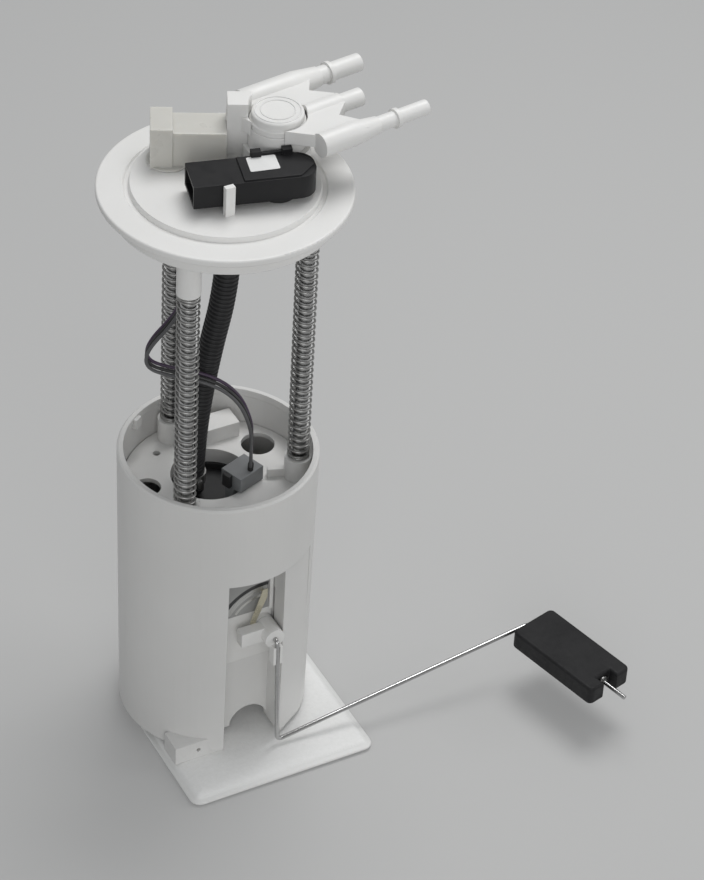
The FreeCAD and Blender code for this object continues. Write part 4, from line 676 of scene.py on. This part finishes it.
# Each printed band: its inner and outer radius in millimetres, and its two ends in degrees
resistor_band = (25.6, 28.0, 84, 143)
return_band = (18.6, 20.2, 86, 146)
dressed("sender_housing", acetal, edge=0.12)
card_face = new_finish("card_ceramic", card_tone, 0.4)
moulded(card_face, card_tone, between(card_tone, (0.25, 0.25, 0.25), 0.5), patch=60, soften=0.1)
dressed("sender_card", card_face, edge=0.1)
dressed("sender_terminals", tin_metal, edge=0.08)
silver_print = drawn("silver_print", silver_tone, 0.4, along=(1, 1, 1), deep=0.01)
carbon_print = new_finish("carbon_print", ink_tone, 0.5)
moulded(carbon_print, ink_tone, (0.05, 0.05, 0.05), patch=80, grain=2400, soften=0.02)


def comb_tree(material):
    """Flat bars that stand side by side along an arc and point to its middle."""
    tree, given = new_tree("printed_comb", ("Arc Radius", "Start Angle", "Sweep Angle", "Bar Width",
                                            "Bar Length", "Print Height"), count="Bars")
    make, link = tree.nodes.new, tree.links.new
    arc = make("GeometryNodeCurveArc")
    arc.mode = "RADIUS"
    arc.inputs["Resolution"].default_value = arc_steps
    for socket, name in (("Radius", "Arc Radius"), ("Start Angle", "Start Angle"),
                         ("Sweep Angle", "Sweep Angle")):
        link(given.outputs[name], arc.inputs[socket])
    dots = make("GeometryNodeCurveToPoints")
    dots.mode = "COUNT"
    link(arc.outputs["Curve"], dots.inputs["Curve"])
    link(given.outputs["Bars"], dots.inputs["Count"])
    here = make("GeometryNodeInputPosition")
    upright = make("FunctionNodeAlignRotationToVector")
    upright.axis = "Y"
    link(here.outputs["Position"], upright.inputs["Vector"])
    bar, extent = make("GeometryNodeMeshCube"), make("ShaderNodeCombineXYZ")
    for socket, name in (("X", "Bar Width"), ("Y", "Bar Length"), ("Z", "Print Height")):
        link(given.outputs[name], extent.inputs[socket])
    link(extent.outputs["Vector"], bar.inputs["Size"])
    stand = make("GeometryNodeInstanceOnPoints")
    link(dots.outputs["Points"], stand.inputs["Points"])
    link(bar.outputs["Mesh"], stand.inputs["Instance"])
    link(upright.outputs["Rotation"], stand.inputs["Rotation"])
    end_tree(tree, stand.outputs["Instances"], material, smooth=False)
    return tree


card_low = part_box("sender_card")[0]
onto_card = (Matrix.Translation(Vector((pivot_x * mm, card_low.y, pivot_z * mm)))
             @ Matrix(((1, 0, 0, 0), (0, 0, -1, 0), (0, 1, 0, 0), (0, 0, 0, 1))))
comb = grown("card_bars", comb_tree(silver_print),
             {"Arc Radius": bar_reach * mm, "Start Angle": math.radians(comb_start),
              "Sweep Angle": math.radians(comb_sweep),
              "Bar Width": bar_wide * mm, "Bar Length": bar_long * mm,
              "Print Height": 2 * print_high * mm,
              "Bars": bar_count})
comb.data.transform(onto_card)


def printed_band(name, inner, outer, start, end, material):
    """A flat band printed on the card, between two radii round the pivot. Angles are in degrees."""
    steps = max(4, round((end - start) / 3))
    points, faces = [], []
    for step in range(steps + 1):
        angle = math.radians(start + (end - start) * step / steps)
        for radius, height in ((inner, 0), (outer, 0), (outer, 1), (inner, 1)):
            points.append((radius * math.cos(angle) * mm, radius * math.sin(angle) * mm,
                           height * print_high * mm))
    for step in range(steps):
        here, next_one = 4 * step, 4 * step + 4
        for a, b in ((0, 1), (1, 2), (2, 3), (3, 0)):
            faces.append((here + a, here + b, next_one + b, next_one + a))
    faces += [(3, 2, 1, 0), (4 * steps, 4 * steps + 1, 4 * steps + 2, 4 * steps + 3)]
    mesh = bpy.data.meshes.new(name)
    mesh.from_pydata(points, [], faces)
    work = bmesh.new()
    work.from_mesh(mesh)
    bmesh.ops.recalc_face_normals(work, faces=work.faces)
    work.to_mesh(mesh)
    work.free()
    mesh.materials.append(material)
    mesh.transform(onto_card)
    return put_in(name, mesh)


resistor = printed_band("card_resistor", *resistor_band, carbon_print)
return_track = printed_band("card_return_track", *return_band, silver_print)
for piece, slot in ((comb, "tinned_brass"), (resistor, "brush_carbon"), (return_track, "tinned_brass")):
    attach(piece, "reservoir")

# Level sender, moving part. The rotor carries the sprung wiper over the card. The arm is one bent
# stainless wire, and the foam float turns on its end between the bend and a push-on steel ring.
steel_tone = (0.58, 0.58, 0.58)
foam_tone = (0.012, 0.012, 0.013)
foam_shade = (0.018, 0.018, 0.019)
dressed("sender_rotor", acetal, edge=0.1)
dressed("wiper_contact", tin_metal, edge=0.08)
rod_metal = drawn("rod_steel", steel_tone, 0.24)
arm_metal = drawn("arm_steel", steel_tone, 0.22, along=(1, 1, 1))
dressed("float_arm", arm_metal, edge=0)
foam = new_finish("float_foam", foam_tone, 0.55, Specular_IOR_Level=0.25)
moulded(foam, foam_tone, foam_shade, patch=50, grain=1100, deep=0.10, gloss=(0.42, 0.60), soften=0.5)
dressed("float", foam, edge=0.3)
clamp_metal = drawn("clamp_steel", (0.52, 0.52, 0.51), 0.3, along=(1, 1, 1))
dressed("float_retainer", clamp_metal, edge=0.12)

# Tank cover. The acetal plate that closes the tank, with a skirt and three rod bosses below. Its
# receptacle is moulded in unpigmented nylon, so light goes some way into it.
natural_tone = (0.66, 0.65, 0.61)
natural_shade = (0.60, 0.59, 0.55)
dressed("tank_cover", acetal, edge=0)
natural_nylon = new_finish("natural_nylon", natural_tone, 0.3, IOR=1.52, Subsurface_Weight=0.7,
                           Subsurface_Scale=0.003, Subsurface_Radius=even_spread)
moulded(natural_nylon, natural_tone, natural_shade, patch=12, grain=300, deep=0.001,
        gloss=(0.26, 0.34), scuff=0.1, soften=0.45)
dressed("electrical_receptacle", natural_nylon)
dressed("receptacle_terminals", tin_metal, edge=0.08)
dressed("harness_plug", black_nylon, edge=0.5)

# Ports and vent valve. One acetal moulding carries the three fuel ports, and the drum beside it holds
# a float that shuts the vent when fuel reaches it. Its cap is spun on, with low rings on its top.
cap_rings = [[(8.2, -0.05), (8.9, -0.05), (8.8, 0.3), (8.3, 0.3)],
             [(11.0, -0.05), (11.9, -0.05), (11.75, 0.35), (11.15, 0.35)]]
cap_steps = 96
for node in ("vent_valve_housing", "vent_valve_cap", "vent_valve_float"):
    dressed(node, acetal, edge=0.3)
dressed("port_manifold", acetal, edge=0)
cap_low, cap_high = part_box("vent_valve_cap")
cap_middle = (cap_low + cap_high) / 2 / mm
rings_on_cap = turned("vent_cap_rings", cap_rings, (cap_middle.x, cap_middle.y, cap_high.z / mm),
                      acetal, cap_steps)
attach(rings_on_cap, "cover")

# Pressure sensor. A black moulded case pushed into the cover through a rubber grommet. Its open end
# is the plug's shroud with three blades, and a small bare white label is stuck on its top.
sensor_tone = (0.012, 0.012, 0.013)
sensor_shade = (0.018, 0.018, 0.019)
label_tone = (0.78, 0.78, 0.77)
label_corners = [(3.4, -19.6), (18.0, -22.6), (20.6, -11.0), (6.4, -8.0)]
label_thick = 0.18
label_round = 1.0
label_sink = 0.02
corner_steps = 4
above_all = 400
dressed("sensor_grommet", rubber, edge=0.3)
sensor_black = new_finish("sensor_black", sensor_tone, 0.36, Specular_IOR_Level=0.22)
moulded(sensor_black, sensor_tone, sensor_shade, grain=1500, gloss=(0.28, 0.44), patch=30, soften=0.45)
dressed("pressure_sensor", sensor_black, edge=0.1)
dressed("sensor_terminals", tin_metal, edge=0.08)
sensor_mesh = solids["pressure_sensor"].data
sensor_skin = BVHTree.FromPolygons([tuple(point.co) for point in sensor_mesh.vertices],
                                   [tuple(face.vertices) for face in sensor_mesh.polygons])
work = bmesh.new()
under, over = [], []
for number, corner in enumerate(label_corners):
    corner = Vector(corner)
    before, after = Vector(label_corners[number - 1]), Vector(label_corners[(number + 1) % 4])
    start = (before - corner).normalized() * label_round
    end = (after - corner).normalized() * label_round
    for step in range(corner_steps + 1):
        share = step / corner_steps
        point = corner + start * (1 - share) ** 2 + end * share ** 2
        hit = sensor_skin.ray_cast(Vector((point.x, point.y, above_all)) * mm, Vector((0, 0, -1)))[0]
        under.append(work.verts.new(hit - Vector((0, 0, label_sink * mm))))
        over.append(work.verts.new(hit + Vector((0, 0, label_thick * mm))))
for number in range(len(under)):
    after = (number + 1) % len(under)
    work.faces.new((under[number], under[after], over[after], over[number]))
work.faces.new(over)
work.faces.new(reversed(under))
bmesh.ops.recalc_face_normals(work, faces=work.faces)
label_mesh = bpy.data.meshes.new("sensor_label")
work.to_mesh(label_mesh)
work.free()
label_film = new_finish("label_film", label_tone, 0.35)
moulded(label_film, label_tone, between(label_tone, (0.6, 0.6, 0.6), 0.4), patch=60, grain=2000, deep=0.005,
        soften=0.05)
label_mesh.materials.append(label_film)
label = put_in("sensor_label", label_mesh)
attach(label, "cover")

# Guide rods and springs. Three ground steel tubes pressed into the cover's bosses slide in the
# retainer's guides, with a clip under each, and coil springs round them hold the tub on the tank floor.
spring_turns = 36
wire_thick = 1.2 * mm
for node in ("guide_rod_right", "guide_rod_rear", "guide_rod_front", "rod_clips"):
    dressed(node, rod_metal, edge=0.15)
for side in ("right", "rear", "front"):
    low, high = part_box("spring_" + side)
    tall = high.z - low.z
    spring = coil("coil_" + side, (high.x - low.x) / 2, tall, spring_turns, wire_thick)
    middle = (low + high) / 2
    spring.data.transform(Matrix.Translation((middle.x, middle.y, low.z)))
    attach(spring, "reservoir")
    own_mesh(spring)
    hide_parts("spring_" + side)

# Fuel hose. Black nylon tube, corrugated so that it can shorten when the tub rises, with plain cuffs
# at both ends that stainless strip clamps hold on the pump's nipple and the cover's stub.
hose_route = [(-11, 8, 148), (-11, 8, 180), (-5.4, 4.6, 234), (3, -0.5, 286), (3, -0.5, 322)]
rib_pitch = 2.6 * mm
hose_cuff = 16 * mm
hose_rad = 6.5 * mm
rib_high = 1.1 * mm
rib_fade = 1.2 * mm
rib_steps = 10
hose_sides = 40
hose_tone = (0.018, 0.018, 0.019)
hose_shade = (0.03, 0.03, 0.031)
hose_nylon = new_finish("hose_nylon", hose_tone, 0.42, Specular_IOR_Level=0.4)
moulded(hose_nylon, hose_tone, hose_shade, grain=1400, gloss=(0.32, 0.5), soften=0.05)
for node in ("hose_clamp_lower", "hose_clamp_upper"):
    dressed(node, clamp_metal, edge=0.12)


def line_through(name, route):
    """The plain line of a smooth curve whose control points are a route in millimetres, as a mesh."""
    curve = bpy.data.curves.new(name, "CURVE")
    curve.dimensions = "3D"
    spline = curve.splines.new("NURBS")
    spline.points.add(len(route) - 1)
    for point, place in zip(spline.points, route):
        point.co = (*(Vector(place) * mm), 1)
    spline.order_u = 3
    spline.use_endpoint_u = True
    spline.resolution_u = 24
    carrier = put_in(name, curve)
    line = bpy.data.meshes.new_from_object(carrier)
    bpy.data.objects.remove(carrier)
    return line


def tube_tree(material, ribbed):
    """A round tube along a line. A ribbed one's radius rises and falls with each rib, but not near
    its ends."""
    tree, given = new_tree("ribbed_hose" if ribbed else "insulated_wire",
                           ("Tube Radius", "Step", "Rib Height", "Rib Pitch", "Plain End"),
                           count="Sides", line=True)
    make, link, sum_of = tree.nodes.new, tree.links.new, arithmetic(tree)
    line, fine = make("GeometryNodeMeshToCurve"), make("GeometryNodeResampleCurve")
    fine.mode = "LENGTH"
    link(given.outputs["Geometry"], line.inputs["Mesh"])
    link(line.outputs["Curve"], fine.inputs["Curve"])
    link(given.outputs["Step"], fine.inputs["Length"])
    along = make("GeometryNodeSplineParameter").outputs["Length"]
    whole = make("GeometryNodeSplineLength").outputs["Length"]
    wave = sum_of("SINE", sum_of("MULTIPLY", sum_of("DIVIDE", along, given.outputs["Rib Pitch"]), math.tau))
    valley = sum_of("MINIMUM", sum_of("MAXIMUM", sum_of("MULTIPLY_ADD", wave, 0.9, 0.5), 0.0), 1.0)
    edge = sum_of("MINIMUM", along, sum_of("SUBTRACT", whole, along))
    fade = sum_of("MULTIPLY", sum_of("SUBTRACT", edge, given.outputs["Plain End"]), 1 / rib_fade)
    fade = sum_of("MINIMUM", sum_of("MAXIMUM", fade, 0.0), 1.0)
    depth = sum_of("MULTIPLY", sum_of("MULTIPLY", valley, fade), given.outputs["Rib Height"])
    radius = given.outputs["Tube Radius"]
    if ribbed:
        radius = sum_of("SUBTRACT", radius, depth)
    section = make("GeometryNodeCurvePrimitiveCircle")
    section.inputs["Radius"].default_value = 1
    link(given.outputs["Sides"], section.inputs["Resolution"])
    tube = make("GeometryNodeCurveToMesh")
    link(section.outputs["Curve"], tube.inputs["Profile Curve"])
    link(fine.outputs["Curve"], tube.inputs["Curve"])
    link(radius, tube.inputs["Scale"])
    tube.inputs["Fill Caps"].default_value = True
    end_tree(tree, tube.outputs["Mesh"], material)
    return tree


hose_line = line_through("hose_line", hose_route)
hose = grown("hose_ribbed", tube_tree(hose_nylon, True),
             {"Tube Radius": hose_rad, "Step": rib_pitch / rib_steps, "Rib Height": rib_high,
              "Rib Pitch": rib_pitch, "Plain End": hose_cuff, "Sides": hose_sides}, hose_line)
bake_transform(hose)
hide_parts("fuel_hose")

# Leads. Three insulated wires hang in a loose loop between the plug under the cover and the pump's
# connector, long enough for the cover to move.
lead_route = [(-13.5, -3, 322), (-13.5, -3, 299), (-24, 3.2, 268), (-36.5, 10.6, 248), (-36.8, 10.8, 236.5),
              (-25, 4, 232.5), (-8, -5.8, 229.5), (4.5, -12.6, 219), (11.3, -14.3, 200), (14.6, -9, 183),
              (14.6, -9, 166)]
lead_rad = 0.9 * mm
lead_part = 1.2 * mm
lead_sides = 14
lead_tones = {"power": (0.10, 0.10, 0.104), "ground": (0.02, 0.02, 0.02), "sender": (0.06, 0.03, 0.075)}
for number, (title, tone) in enumerate(lead_tones.items()):
    insulation = new_finish("insulation_" + title, tone, 0.42, IOR=1.5)
    moulded(insulation, tone, between(tone, (0.1, 0.1, 0.1), 0.3), patch=60, grain=2500, deep=0.01,
            soften=0.05)
    route = [Vector(place) + lead_step * (number - 1) for place in lead_route]
    route[0].z = lead_route[0][2]
    route[-1].z = lead_route[-1][2]
    lead_line = line_through("lead_line_" + title, route)
    lead = grown("wire_" + title, tube_tree(insulation, False),
                 {"Tube Radius": lead_rad, "Step": lead_part, "Sides": lead_sides}, lead_line)
    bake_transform(lead)
    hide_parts("lead_" + title)
